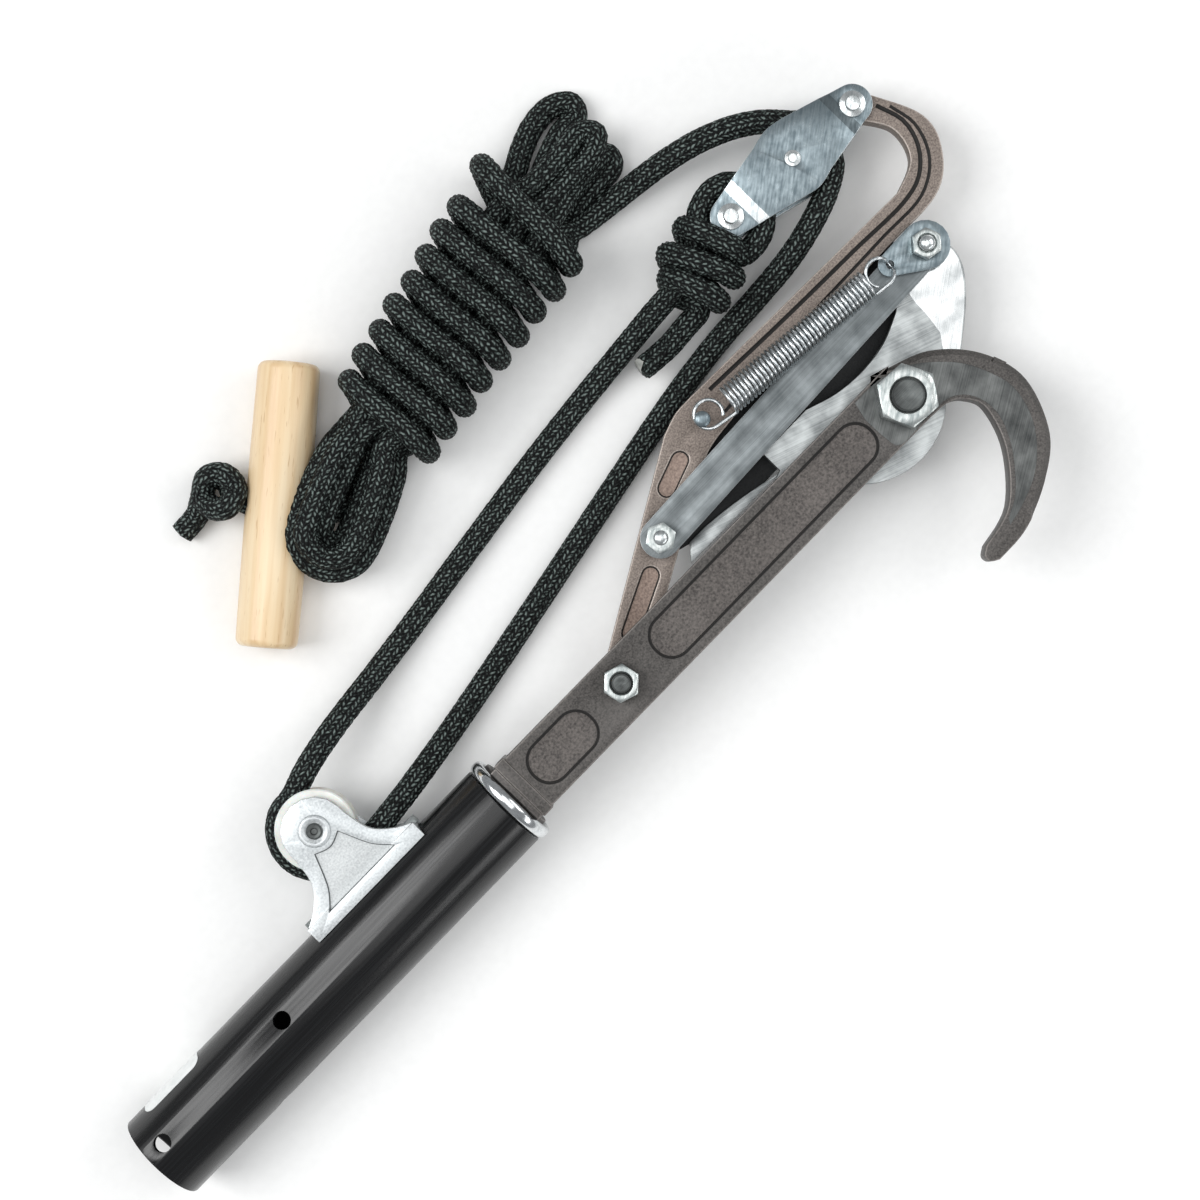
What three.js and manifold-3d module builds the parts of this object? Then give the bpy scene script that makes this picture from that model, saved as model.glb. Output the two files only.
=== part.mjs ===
// Rope-operated pole pruner head: a hook casting on a pole socket, a blade driven by a lever
// through a pair of links, a return spring, two pulleys and their cord with a toggle handle.
// Millimetres. X runs along the socket tube towards the hook, Y across it towards the pulleys,
// Z upwards. The tool lies flat. Everything is first placed on the tube's axis (y = 0, z = 0),
// with x = 0 at the tube's mouth, and the whole group is then set down on the floor.
import * as THREE from "three";
import * as BufferGeometryUtils from "three/addons/utils/BufferGeometryUtils.js";
import Module from "manifold-3d";

const wasm = await Module();
wasm.setup();

// ---- clearances -------------------------------------------------------------------------
const FACE_GAP = 0.3; // between pieces that lie on each other
const HOLE_CLEARANCE = 0.2; // radial, a pin in its hole
const LINKAGE_CLEARANCE = 2.0; // radial, the tail bolt in the links' end holes

// ---- socket tube ------------------------------------------------------------------------
const TUBE_OUTER_DIAMETER = 37.5;
const TUBE_WALL = 2.6;
const TUBE_END = 191; // the shoulder end, next to the ring
const TUBE_LENGTH = 191; // from there back to the mouth
const BUTTON_HOLE_DIAMETER = 7.2;
const BUTTON_HOLE_PLACES = [8.5, 74]; // from the mouth
const BUTTON_HOLE_TURN = 13; // degrees from the top towards +Y
const SIDE_HOLE_PLACE = 50; // from the mouth, on the -Y side
const RING_LENGTH = 5.2;
const RING_PROUD = 1.15; // past the tube's surface

// ---- hook casting -----------------------------------------------------------------------
const ARM_THICKNESS = 12;
const ARM_HALF_WIDTH = 12.7;
const NECK_LENGTH = 33; // block behind the arm, past the ring
const NECK_DEPTH = 8; // below the tube's axis
const SPIGOT_LENGTH = 72; // the round plug inside the tube
const RIDGE_WIDTH = 5;
const RIDGE_HEIGHT = 0.8;
const PANEL_DEPTH = 1.2;
const PANEL_HALF_WIDTH = 8.6;
const SHORT_PANEL = [208, 239.5];
const LONG_PANEL = [275, 393];

// ---- pivots (x, y) ----------------------------------------------------------------------
const LEVER_PIVOT = [256.9, 1.1];
const BLADE_PIVOT = [411.2, -0.6];
const LINK_PIVOT = [307.4, 28.9];
const TAIL_PIVOT = [459.7, 34.5];
const BLOCK_PIVOT = [479.5, 92.8];
const SPRING_PIN_PLACE = [351, 49.2];
const SPRING_EYE_PLACE = [444.6, 39];
const LOWER_SHEAVE_PLACE = [133.3, 45.8];
const UPPER_SHEAVE_PLACE = [448.1, 94.6];
const BECKET_PLACE = [415.5, 96.1];

// ---- lever, blade and links -------------------------------------------------------------
const LEVER_THICKNESS = 9;
const LEVER_BAR_HALF_WIDTH = 7.75;
const LEVER_HUB_RADIUS = 11.2;
const LEVER_EYE_RADIUS = 6.8;
const BLADE_THICKNESS = 5;
const BLADE_TAIL_RADIUS = 7.2;
const HEEL_RADIUS = 33;
const FINGER_SETBACK = 0.1; // above the lever's underside
const LINK_THICKNESS = 3.2;
const LINK_HALF_WIDTH = 7.9;
const REAR_LINK_HALF_WIDTH = 15;
const TAB_THICKNESS = 1.9;
const TAB_RADIUS = 9.6;
const TAB_EYE_RADIUS = 4.6;

// ---- bolts ------------------------------------------------------------------------------
const LEVER_BOLT = { radius: 3.75, flats: 13, nutHeight: 6.5, headRadius: 6.6, headHeight: 4.4 };
const BLADE_BOLT = { radius: 6.3, flats: 21.6, nutHeight: 9, headRadius: 11.5, headHeight: 3.6 };
const LINK_BOLT = { radius: 3, flats: 10.6, nutHeight: 4.6, headRadius: 5.6, headHeight: 1.7 };
const BLOCK_BOLT = { radius: 2.9, headRadius: 4.4, headHeight: 2.6 };
const SHEAVE_RIVET = { radius: 2.4, headRadius: 3.2, headHeight: 1.2 };
const BOLT_END = 1.6; // how far a bolt stands past its nut

// ---- spring -----------------------------------------------------------------------------
const SPRING_OUTER_DIAMETER = 12.2;
const SPRING_WIRE = 1.5;
const SPRING_LIFT = 0.5; // above the front link
const SPRING_TURNS = 38;
const SPRING_LOOP_RADIUS = 5.6;
const LOOP_SWEEP = 1.82 * Math.PI;
const SPRING_BODY_START = [363, 47];
const SPRING_BODY_END = [433.1, 40];
const PIN_RADIUS = 1.5;
const PIN_HEAD_RADIUS = 3.2;

// ---- pulleys ----------------------------------------------------------------------------
const SHEAVE_LIP = 1.2; // the sheave's edge past the rope, on each side
const SHEAVE_SIDE_GAP = 0.5; // between a sheave and its cheeks
const GROOVE_CLEARANCE = 0.8; // between a groove's floor and the rope
const LOWER_SHEAVE = { flangeRadius: 16, rootRadius: 10, boreRadius: 2.6 };
const UPPER_SHEAVE = { flangeRadius: 13.8, rootRadius: 9.7, boreRadius: 2.6 };
const CHEEK_THICKNESS = 3.5;
const BRACKET_BOSS_RADIUS = 13.2;
const BRACKET_FOOT_LENGTH = 58;
const BRACKET_FOOT_RISE = 2.25; // the foot's top above the tube's crown
const BRACKET_FOOT_SKIRT = 4.6; // how far the foot reaches down past the tube's crown
const FOOT_SLOT_DEPTH = 1.5; // the channel between the cheeks, cut into the foot
const BRACKET_SIDE_WIDTH = 24.8; // across the foot, along Z
const SCREW_EDGE_DISTANCE = 4.5; // from a screw's axis to the foot's end
const SCREW_HEAD_FLATS = 10.6;
const SCREW_HEAD_HEIGHT = 3.4;
const PLATE_THICKNESS = 2;
const PLATE_HALF_WIDTH = 15.1;
const PLATE_LEFT_RADIUS = 8;
const PLATE_RIGHT_RADIUS = 7.9;
const JOGGLE_LENGTH = 4.5;
const JOGGLE_PLACES = [421.2, 476]; // where the plates' ends step inwards

// ---- rope -------------------------------------------------------------------------------
const ROPE_DIAMETER = 9.6;
const FLOOR_SPAN = [400, 520]; // along the reeved rope
const HANDLE_PLACE = [212.6, 145.5];
const HANDLE_TURN = 39.5; // degrees from the tube's heading
const HANDLE_LENGTH = 112;
const HANDLE_RADIUS = 12.6;
const HANDLE_BORE_RADIUS = 5.6;
const HANK_HEIGHT = 38;
const KNOT_RADIUS = 14;

// ---- levels that follow from the sizes above --------------------------------------------
const ropeRadius = ROPE_DIAMETER / 2;
const tubeRadius = TUBE_OUTER_DIAMETER / 2;
const tubeBore = tubeRadius - TUBE_WALL;
const tubeMouth = TUBE_END - TUBE_LENGTH;
const ringRadius = tubeRadius + RING_PROUD;
const ringStart = TUBE_END + FACE_GAP;
const neckStart = ringStart + RING_LENGTH + FACE_GAP;
const floorLevel = -ringRadius;
const leverTop = LEVER_THICKNESS / 2;
const armBottom = leverTop + FACE_GAP;
const armTop = armBottom + ARM_THICKNESS;
const linkBottom = leverTop + FACE_GAP;
const linkTop = linkBottom + LINK_THICKNESS;
const tabBottom = linkTop + FACE_GAP;
const tabTop = tabBottom + TAB_THICKNESS;
const bladeBottom = leverTop - BLADE_THICKNESS;
const springLevel = linkTop + SPRING_LIFT + SPRING_OUTER_DIAMETER / 2;
const sheaveHalfWidth = ropeRadius + SHEAVE_LIP;
const cheekInner = sheaveHalfWidth + SHEAVE_SIDE_GAP;
const cheekOuter = cheekInner + CHEEK_THICKNESS;
const plateInner = cheekInner;
const plateEndInner = leverTop + FACE_GAP;
const plateOuter = plateInner + PLATE_THICKNESS;
const plateEndOuter = plateEndInner + PLATE_THICKNESS;
const footBottom = tubeRadius - BRACKET_FOOT_SKIRT;
const footTop = tubeRadius + BRACKET_FOOT_RISE;
const footSlot = footTop - FOOT_SLOT_DEPTH;
const ropeRest = floorLevel + ropeRadius;

// ---- materials --------------------------------------------------------------------------
const finish = (color, roughness, metalness) =>
  new THREE.MeshStandardMaterial({ color, roughness, metalness });
const BLACK_TUBE = finish(0x17181a, 0.35, 0.4);
const CHROME = finish(0xd8dadb, 0.12, 1);
const CAST_ALUMINIUM = finish(0xc6cacb, 0.5, 0.7);
const DARK_CASTING = finish(0x5f5b58, 0.65, 0.4);
const BROWN_CASTING = finish(0x8f7f77, 0.65, 0.3);
const BRIGHT_STEEL = finish(0xd6d8d8, 0.25, 1);
const GREY_STEEL = finish(0x6f7577, 0.45, 0.8);
const DARK_STEEL = finish(0x3b3d3e, 0.55, 0.6);
const ZINC = finish(0xa9b5b8, 0.4, 0.8);
const NYLON = finish(0xe9e9e4, 0.45, 0);
const BLACK_ROPE = finish(0x1c1e1e, 0.95, 0);
const BEECH = finish(0xecd3ac, 0.45, 0);

// ---- solids -----------------------------------------------------------------------------
/** A closed three.js geometry as a solid that can be cut and joined. */
function solid(geometry) {
  const plain = geometry.index ? geometry.toNonIndexed() : geometry.clone();
  plain.deleteAttribute("normal");
  plain.deleteAttribute("uv");
  const merged = BufferGeometryUtils.mergeVertices(plain, 1e-4);
  const vertProperties = new Float32Array(merged.attributes.position.array);
  const triVerts = new Uint32Array(merged.index.array);
  return new wasm.Manifold(new wasm.Mesh({ numProp: 3, vertProperties, triVerts }));
}

/** A solid's surface as a three.js geometry. */
function surface(body) {
  const { vertProperties, triVerts } = body.getMesh();
  const geometry = new THREE.BufferGeometry();
  geometry.setAttribute("position", new THREE.BufferAttribute(new Float32Array(vertProperties), 3));
  geometry.setIndex(new THREE.BufferAttribute(new Uint32Array(triVerts), 1));
  geometry.computeVertexNormals();
  return geometry;
}

const joined = (first, ...rest) => rest.reduce((whole, piece) => whole.add(piece), first);
const cut = (first, ...rest) => rest.reduce((whole, piece) => whole.subtract(piece), first);

/** A named piece of the tool, from a solid or a plain geometry. */
function part(name, shape, material) {
  const mesh = new THREE.Mesh(shape.getMesh ? surface(shape) : shape, material);
  mesh.name = name;
  return mesh;
}

/** A flat outline in the XY plane made thick between two levels. */
function slab(outline, bottom, top, curveSegments = 4) {
  const geometry = new THREE.ExtrudeGeometry(outline, {
    depth: top - bottom,
    bevelEnabled: false,
    curveSegments,
  });
  return solid(geometry.translate(0, 0, bottom));
}

/** A round bar along Z. */
function post([x, y], radius, bottom, top, segments = 24) {
  const geometry = new THREE.CylinderGeometry(radius, radius, top - bottom, segments);
  return solid(geometry.rotateX(Math.PI / 2).translate(x, y, (bottom + top) / 2));
}

/** A round bar along X on the tube's axis. */
function roller(radius, start, end, segments = 48) {
  const geometry = new THREE.CylinderGeometry(radius, radius, end - start, segments);
  return solid(geometry.rotateZ(Math.PI / 2).translate((start + end) / 2, 0, 0));
}

/** A hexagonal bar along Z, measured across its flats. */
function hexagon(place, flats, bottom, top) {
  return post(place, flats / Math.sqrt(3), bottom, top, 6);
}

/** A rectangular block between two corners. */
function block(low, high) {
  const size = high.map((value, axis) => value - low[axis]);
  const centre = high.map((value, axis) => (value + low[axis]) / 2);
  return solid(new THREE.BoxGeometry(...size).translate(...centre));
}

/** A body turned about an axis through a place: Z by default. Profile points are (radius, height). */
function turned([x, y], profile, segments = 40) {
  const points = profile.map(([radius, height]) => new THREE.Vector2(radius, height));
  const geometry = new THREE.LatheGeometry(points, segments);
  return solid(geometry.rotateX(Math.PI / 2).translate(x, y, 0));
}

/** A smooth run of an outline through the given points. */
function smooth(outline, points) {
  outline.splineThru(points.map(([x, y]) => new THREE.Vector2(x, y)));
}

/** An outline with round ends about two centres. */
function roundEnded([x0, y0], radius0, [x1, y1], radius1 = radius0) {
  const length = Math.hypot(x1 - x0, y1 - y0);
  const heading = Math.atan2(y1 - y0, x1 - x0);
  const lean = Math.acos((radius0 - radius1) / length);
  const outline = new THREE.Shape();
  outline.absarc(x0, y0, radius0, heading + lean, heading - lean + 2 * Math.PI, false);
  outline.absarc(x1, y1, radius1, heading - lean, heading + lean, false);
  outline.closePath();
  return outline;
}

/** A bolt with a round head below, up to a level above. */
function bolt(place, size, headTop, end) {
  const head = post(place, size.headRadius, headTop - size.headHeight, headTop);
  return joined(head, post(place, size.radius, headTop - 0.1, end));
}

/** A hexagonal nut on a bolt. */
function nut(place, size, bottom) {
  const body = hexagon(place, size.flats, bottom, bottom + size.nutHeight);
  return cut(body, post(place, size.radius + HOLE_CLEARANCE, bottom - 1, bottom + size.nutHeight + 1));
}

/** A hole through everything at a place. */
function hole(place, radius) {
  return post(place, radius + HOLE_CLEARANCE, -60, 60);
}

// ---- socket -----------------------------------------------------------------------------
function socketTube() {
  const outside = roller(tubeRadius, tubeMouth, TUBE_END);
  const inside = roller(tubeBore, tubeMouth - 1, TUBE_END + 1);
  const radius = BUTTON_HOLE_DIAMETER / 2;
  const turn = THREE.MathUtils.degToRad(-BUTTON_HOLE_TURN);
  const buttonHoles = BUTTON_HOLE_PLACES.map((x) => {
    const drill = new THREE.CylinderGeometry(radius, radius, 2 * tubeRadius, 24);
    return solid(drill.rotateX(Math.PI / 2).translate(tubeMouth + x, 0, tubeRadius).rotateX(turn));
  });
  const sideDrill = new THREE.CylinderGeometry(radius, radius, 2 * tubeRadius, 24);
  const sideHole = solid(sideDrill.translate(tubeMouth + SIDE_HOLE_PLACE, -tubeRadius, 0));
  return part("socket_tube", cut(outside, inside, sideHole, ...buttonHoles), BLACK_TUBE);
}

function endRing() {
  const inner = tubeBore + 0.5;
  const round = (ringRadius - inner) / 2;
  const middle = (ringRadius + inner) / 2;
  const bead = new THREE.Shape();
  bead.absellipse(middle, 0, round, RING_LENGTH / 2, 0, 2 * Math.PI, false);
  const points = bead.getPoints(4).map((point) => new THREE.Vector2(point.x, point.y));
  const geometry = new THREE.LatheGeometry(points, 36);
  geometry.rotateZ(-Math.PI / 2).translate(ringStart + RING_LENGTH / 2, 0, 0);
  return part("end_ring", solid(geometry), CHROME);
}

// ---- hook casting -----------------------------------------------------------------------
function hookOutline() {
  const outline = new THREE.Shape();
  outline.moveTo(neckStart, -ARM_HALF_WIDTH);
  outline.lineTo(412, -ARM_HALF_WIDTH - 0.3);
  smooth(outline, [[421.5, -14], [427, -18], [429.8, -26], [424, -42], [409, -58], [392, -62.6]]);
  smooth(outline, [[388.8, -65], [389, -68], [392, -70]]);
  smooth(outline, [[408, -68.9], [427, -60.8], [441, -49], [448.8, -28], [443.5, -9], [430, 5.6],
    [412, ARM_HALF_WIDTH]]);
  outline.lineTo(neckStart, ARM_HALF_WIDTH);
  outline.closePath();
  return outline;
}

function panelRecess([start, end]) {
  const corner = PANEL_HALF_WIDTH - 0.5;
  const outline = new THREE.Shape();
  outline.absarc(start + corner, 0.5, corner, Math.PI / 2, Math.PI, false);
  outline.absarc(start + corner, -0.5, corner, Math.PI, 1.5 * Math.PI, false);
  outline.absarc(end - corner, -0.5, corner, 1.5 * Math.PI, 2 * Math.PI, false);
  outline.absarc(end - corner, 0.5, corner, 0, Math.PI / 2, false);
  outline.closePath();
  return slab(outline, armTop - PANEL_DEPTH, armTop + 5);
}

function hookCasting() {
  const arm = slab(hookOutline(), armBottom, armTop, 6);
  const neckEnd = neckStart + NECK_LENGTH;
  const neck = block([neckStart, -ARM_HALF_WIDTH, -NECK_DEPTH], [neckEnd, ARM_HALF_WIDTH, armTop]);
  const ridgeStart = neckStart + 3;
  const side = ARM_HALF_WIDTH + RIDGE_HEIGHT;
  const ridge = block(
    [ridgeStart, -side, -NECK_DEPTH],
    [ridgeStart + RIDGE_WIDTH, side, armTop + RIDGE_HEIGHT],
  );
  const spigot = roller(tubeBore - FACE_GAP, TUBE_END - SPIGOT_LENGTH, neckStart + 1);
  const whole = joined(arm, neck, ridge, spigot);
  const casting = cut(
    whole,
    panelRecess(SHORT_PANEL),
    panelRecess(LONG_PANEL),
    hole(LEVER_PIVOT, LEVER_BOLT.radius),
    hole(BLADE_PIVOT, BLADE_BOLT.radius),
  );
  return part("hook_casting", casting, DARK_CASTING);
}

// ---- lever ------------------------------------------------------------------------------
/** Two edges of the lever's straight arm, from the hub towards the link bolt. */
function leverEdges() {
  const [x, y] = LEVER_PIVOT;
  const heading = Math.atan2(LINK_PIVOT[1] - y, LINK_PIVOT[0] - x);
  const acrossX = -Math.sin(heading) * LEVER_BAR_HALF_WIDTH;
  const acrossY = Math.cos(heading) * LEVER_BAR_HALF_WIDTH;
  return { upper: [x + acrossX, y + acrossY], lower: [x - acrossX, y - acrossY] };
}

function leverOutline() {
  const { upper, lower } = leverEdges();
  const outline = new THREE.Shape();
  outline.moveTo(...lower);
  outline.lineTo(341, 37.6);
  smooth(outline, [[354, 40.6], [400, 43.4], [450, 44.4], [478, 45.2], [492, 56], [496, 71],
    [BLOCK_PIVOT[0] + LEVER_EYE_RADIUS, BLOCK_PIVOT[1]]]);
  outline.lineTo(BLOCK_PIVOT[0] - 3, BLOCK_PIVOT[1] - 5);
  smooth(outline, [[484, 75], [480.5, 62], [468, 56.4]]);
  outline.lineTo(354, 58.8);
  smooth(outline, [[346, 58.4], [337, 55.6]]);
  outline.lineTo(...upper);
  outline.closePath();
  return outline;
}

function leverCasting() {
  const bar = slab(leverOutline(), -leverTop, leverTop, 6);
  const hub = post(LEVER_PIVOT, LEVER_HUB_RADIUS, -leverTop, leverTop, 40);
  const eye = post(BLOCK_PIVOT, LEVER_EYE_RADIUS, -leverTop, leverTop);
  const recess = (from, to, radius) =>
    slab(roundEnded(from, radius, to), leverTop - PANEL_DEPTH, leverTop + 5);
  const casting = cut(
    joined(bar, hub, eye),
    recess([273, 11.5], [294.5, 21.6], 3.6),
    recess([323, 40.6], [334.5, 44.6], 3.6),
    hole(LEVER_PIVOT, LEVER_BOLT.radius),
    hole(LINK_PIVOT, LINK_BOLT.radius),
    hole(BLOCK_PIVOT, BLOCK_BOLT.radius),
    hole(SPRING_PIN_PLACE, PIN_RADIUS),
  );
  return part("lever_casting", casting, BROWN_CASTING);
}

function stopFinger() {
  const outline = new THREE.Shape();
  outline.moveTo(309, 13.4);
  outline.lineTo(358.6, 13.4);
  smooth(outline, [[341, 17.2], [325, 19.4], [314.5, 19.6]]);
  outline.closePath();
  const top = bladeBottom - FACE_GAP;
  return part("stop_finger", slab(outline, FINGER_SETBACK - leverTop, top), BRIGHT_STEEL);
}

function springPin() {
  const [x, y] = SPRING_PIN_PLACE;
  const headLevel = springLevel + SPRING_WIRE / 2 + FACE_GAP;
  const shank = post([x, y], PIN_RADIUS, -leverTop, headLevel + 0.2, 24);
  const crown = [[0, 0], [1, 0], [0.92, 1.1], [0.55, 2], [0, 2.3]];
  const dome = turned([x, y], crown.map(([share, rise]) => [share * PIN_HEAD_RADIUS, headLevel + rise]), 24);
  return part("spring_pin", joined(shank, dome), ZINC);
}

// ---- blade ------------------------------------------------------------------------------
function bladeOutline() {
  const heelCentre = [400.4, -22.4 + HEEL_RADIUS];
  const outline = new THREE.Shape();
  const [tailX, tailY] = TAIL_PIVOT;
  outline.moveTo(tailX + BLADE_TAIL_RADIUS, tailY);
  smooth(outline, [[466.5, 22], [459, 11], [443, -2.4], [424.3, -15]]);
  const start = Math.atan2(-15 - heelCentre[1], 424.3 - heelCentre[0]);
  const end = Math.atan2(-13 - heelCentre[1], 377.5 - heelCentre[0]);
  outline.absarc(...heelCentre, HEEL_RADIUS, start, end, true);
  outline.lineTo(352, -12);
  smooth(outline, [[340, -9], [336.5, -3], [343, 8], [358.6, 14]]);
  outline.lineTo(358.6, 23.2);
  outline.lineTo(382.5, 23.2);
  smooth(outline, [[395, 19.2], [408.4, 17.9], [422, 19.6], [434, 24.6]]);
  outline.lineTo(450, 38);
  outline.absarc(tailX, tailY, BLADE_TAIL_RADIUS, 0.8 * Math.PI, 0, true);
  outline.closePath();
  return outline;
}

function blade() {
  const plate = slab(bladeOutline(), bladeBottom, leverTop, 7);
  const pivot = hole(BLADE_PIVOT, BLADE_BOLT.radius);
  return part("blade", cut(plate, pivot, hole(TAIL_PIVOT, LINK_BOLT.radius)), BRIGHT_STEEL);
}

// ---- links and spring tab ---------------------------------------------------------------
function frontLink() {
  const outline = roundEnded(LINK_PIVOT, LINK_HALF_WIDTH, TAIL_PIVOT);
  const strap = slab(outline, linkBottom, linkTop, 6);
  const tailHole = hole(TAIL_PIVOT, LINK_BOLT.radius + LINKAGE_CLEARANCE);
  return part("link_front", cut(strap, hole(LINK_PIVOT, LINK_BOLT.radius), tailHole), GREY_STEEL);
}

function rearLink() {
  const [x0, y0] = LINK_PIVOT;
  const [x1, y1] = TAIL_PIVOT;
  const outline = new THREE.Shape();
  outline.absarc(x0, y0, LINK_HALF_WIDTH, Math.PI / 2, 1.5 * Math.PI, false);
  smooth(outline, [[x0 + 22, y0 - REAR_LINK_HALF_WIDTH + 2], [x0 + 50, y0 - REAR_LINK_HALF_WIDTH + 1],
    [x1 - 50, y1 - REAR_LINK_HALF_WIDTH - 2], [x1 - 20, y1 - REAR_LINK_HALF_WIDTH + 4],
    [x1, y1 - LINK_HALF_WIDTH]]);
  outline.absarc(x1, y1, LINK_HALF_WIDTH, -Math.PI / 2, Math.PI / 2, false);
  smooth(outline, [[x1 - 22, y1 + REAR_LINK_HALF_WIDTH - 3], [x0 + 50, y0 + REAR_LINK_HALF_WIDTH],
    [x0 + 24, y0 + REAR_LINK_HALF_WIDTH - 4], [x0, y0 + LINK_HALF_WIDTH]]);
  outline.closePath();
  const strap = slab(outline, -linkTop, -linkBottom);
  const tailHole = hole(TAIL_PIVOT, LINK_BOLT.radius + LINKAGE_CLEARANCE);
  return part("link_rear", cut(strap, hole(LINK_PIVOT, LINK_BOLT.radius), tailHole), DARK_STEEL);
}

function springTab() {
  const outline = roundEnded(TAIL_PIVOT, TAB_RADIUS, SPRING_EYE_PLACE, TAB_EYE_RADIUS);
  const plate = slab(outline, tabBottom, tabTop, 6);
  const tailHole = hole(TAIL_PIVOT, LINK_BOLT.radius + LINKAGE_CLEARANCE);
  return part("spring_tab", cut(plate, tailHole, hole(SPRING_EYE_PLACE, SPRING_WIRE)), ZINC);
}

// ---- bolts and nuts ---------------------------------------------------------------------
function fasteners() {
  const leverNutLevel = armTop + FACE_GAP;
  const leverEnd = leverNutLevel + LEVER_BOLT.nutHeight + BOLT_END;
  const bladeEnd = leverNutLevel + BLADE_BOLT.nutHeight + BOLT_END;
  const linkNutLevel = linkTop + FACE_GAP;
  const tailNutLevel = tabTop + FACE_GAP;
  const spacerTop = bladeBottom - FACE_GAP;
  const spacer = cut(
    post(TAIL_PIVOT, LINK_BOLT.headRadius, -linkBottom + FACE_GAP, spacerTop),
    hole(TAIL_PIVOT, LINK_BOLT.radius),
  );
  const linkHeadTop = -linkTop - FACE_GAP;
  const linkEnd = linkNutLevel + LINK_BOLT.nutHeight + BOLT_END;
  const tailEnd = tailNutLevel + LINK_BOLT.nutHeight + BOLT_END;
  return [
    part("lever_bolt", bolt(LEVER_PIVOT, LEVER_BOLT, -leverTop - FACE_GAP, leverEnd), ZINC),
    part("lever_nut", nut(LEVER_PIVOT, LEVER_BOLT, leverNutLevel), ZINC),
    part("blade_bolt", bolt(BLADE_PIVOT, BLADE_BOLT, bladeBottom - FACE_GAP, bladeEnd), GREY_STEEL),
    part("blade_nut", nut(BLADE_PIVOT, BLADE_BOLT, leverNutLevel), ZINC),
    part("link_bolt", bolt(LINK_PIVOT, LINK_BOLT, linkHeadTop, linkEnd), ZINC),
    part("link_nut", nut(LINK_PIVOT, LINK_BOLT, linkNutLevel), ZINC),
    part("tail_bolt", bolt(TAIL_PIVOT, LINK_BOLT, linkHeadTop, tailEnd), ZINC),
    part("tail_nut", nut(TAIL_PIVOT, LINK_BOLT, tailNutLevel), ZINC),
    part("tail_spacer", spacer, GREY_STEEL),
  ];
}

// ---- spring -----------------------------------------------------------------------------
/** A wire of round section along a curve. */
function wire(curve, diameter, sides, steps) {
  const section = new THREE.Shape();
  section.absarc(0, 0, diameter / 2, 0, 2 * Math.PI, false);
  return new THREE.ExtrudeGeometry(section, {
    steps,
    curveSegments: sides / 2,
    extrudePath: curve,
  });
}

const springAxis = new THREE.Vector2(
  SPRING_BODY_END[0] - SPRING_BODY_START[0],
  SPRING_BODY_END[1] - SPRING_BODY_START[1],
);

const springUnit = springAxis.clone().normalize();

/** The close-wound body, drawn as a fluted tube: one ridge for every two turns of wire. */
function springCoil() {
  const length = springAxis.length();
  const outer = SPRING_OUTER_DIAMETER / 2;
  const ridges = SPRING_TURNS / 2;
  const pitch = length / ridges;
  const profile = [[outer - SPRING_WIRE, 0]];
  for (let ridge = 0; ridge < ridges; ridge += 1) {
    profile.push([outer - SPRING_WIRE / 2, ridge * pitch]);
    profile.push([outer, (ridge + 0.5) * pitch]);
  }
  profile.push([outer - SPRING_WIRE / 2, length], [outer - SPRING_WIRE, length], profile[0]);
  const points = profile.map(([radius, along]) => new THREE.Vector2(radius, along));
  const geometry = new THREE.LatheGeometry(points, 12);
  geometry.rotateZ(-Math.PI / 2).rotateZ(springAxis.angle() - 2 * Math.PI);
  geometry.translate(SPRING_BODY_START[0], SPRING_BODY_START[1], springLevel);
  return part("spring_coil", solid(geometry), BRIGHT_STEEL);
}

/** A wire that leaves the coil's end on its axis and closes into a ring about a centre. */
function springLoop(coilEnd, centre, coilSide) {
  const reach = coilSide * FACE_GAP;
  const [endX, endY] = coilEnd;
  const points = [new THREE.Vector3(endX - springUnit.x * reach, endY - springUnit.y * reach, springLevel)];
  const heading = springAxis.angle() + (coilSide > 0 ? 0 : Math.PI);
  const steps = 16;
  for (let step = 0; step <= steps; step += 1) {
    const angle = heading + (LOOP_SWEEP * step) / steps;
    points.push(new THREE.Vector3(
      centre[0] + SPRING_LOOP_RADIUS * Math.cos(angle),
      centre[1] + SPRING_LOOP_RADIUS * Math.sin(angle),
      springLevel,
    ));
  }
  return solid(wire(new THREE.CatmullRomCurve3(points), SPRING_WIRE, 8, 26));
}

/** The two end loops: one round the lever's pin, one with its tip down through the tab's eye. */
function springLoops() {
  const toPin = SPRING_LOOP_RADIUS - SPRING_WIRE / 2 - PIN_RADIUS - HOLE_CLEARANCE;
  const near = [SPRING_PIN_PLACE[0] + springUnit.x * toPin, SPRING_PIN_PLACE[1] + springUnit.y * toPin];
  const far = [
    SPRING_EYE_PLACE[0] - springUnit.x * SPRING_LOOP_RADIUS,
    SPRING_EYE_PLACE[1] - springUnit.y * SPRING_LOOP_RADIUS,
  ];
  const tip = post(SPRING_EYE_PLACE, SPRING_WIRE / 2, tabBottom, springLevel, 8);
  return [
    part("spring_hook_lever", springLoop(SPRING_BODY_START, near, 1), BRIGHT_STEEL),
    part("spring_hook_tab", joined(springLoop(SPRING_BODY_END, far, -1), tip), BRIGHT_STEEL),
  ];
}

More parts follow.
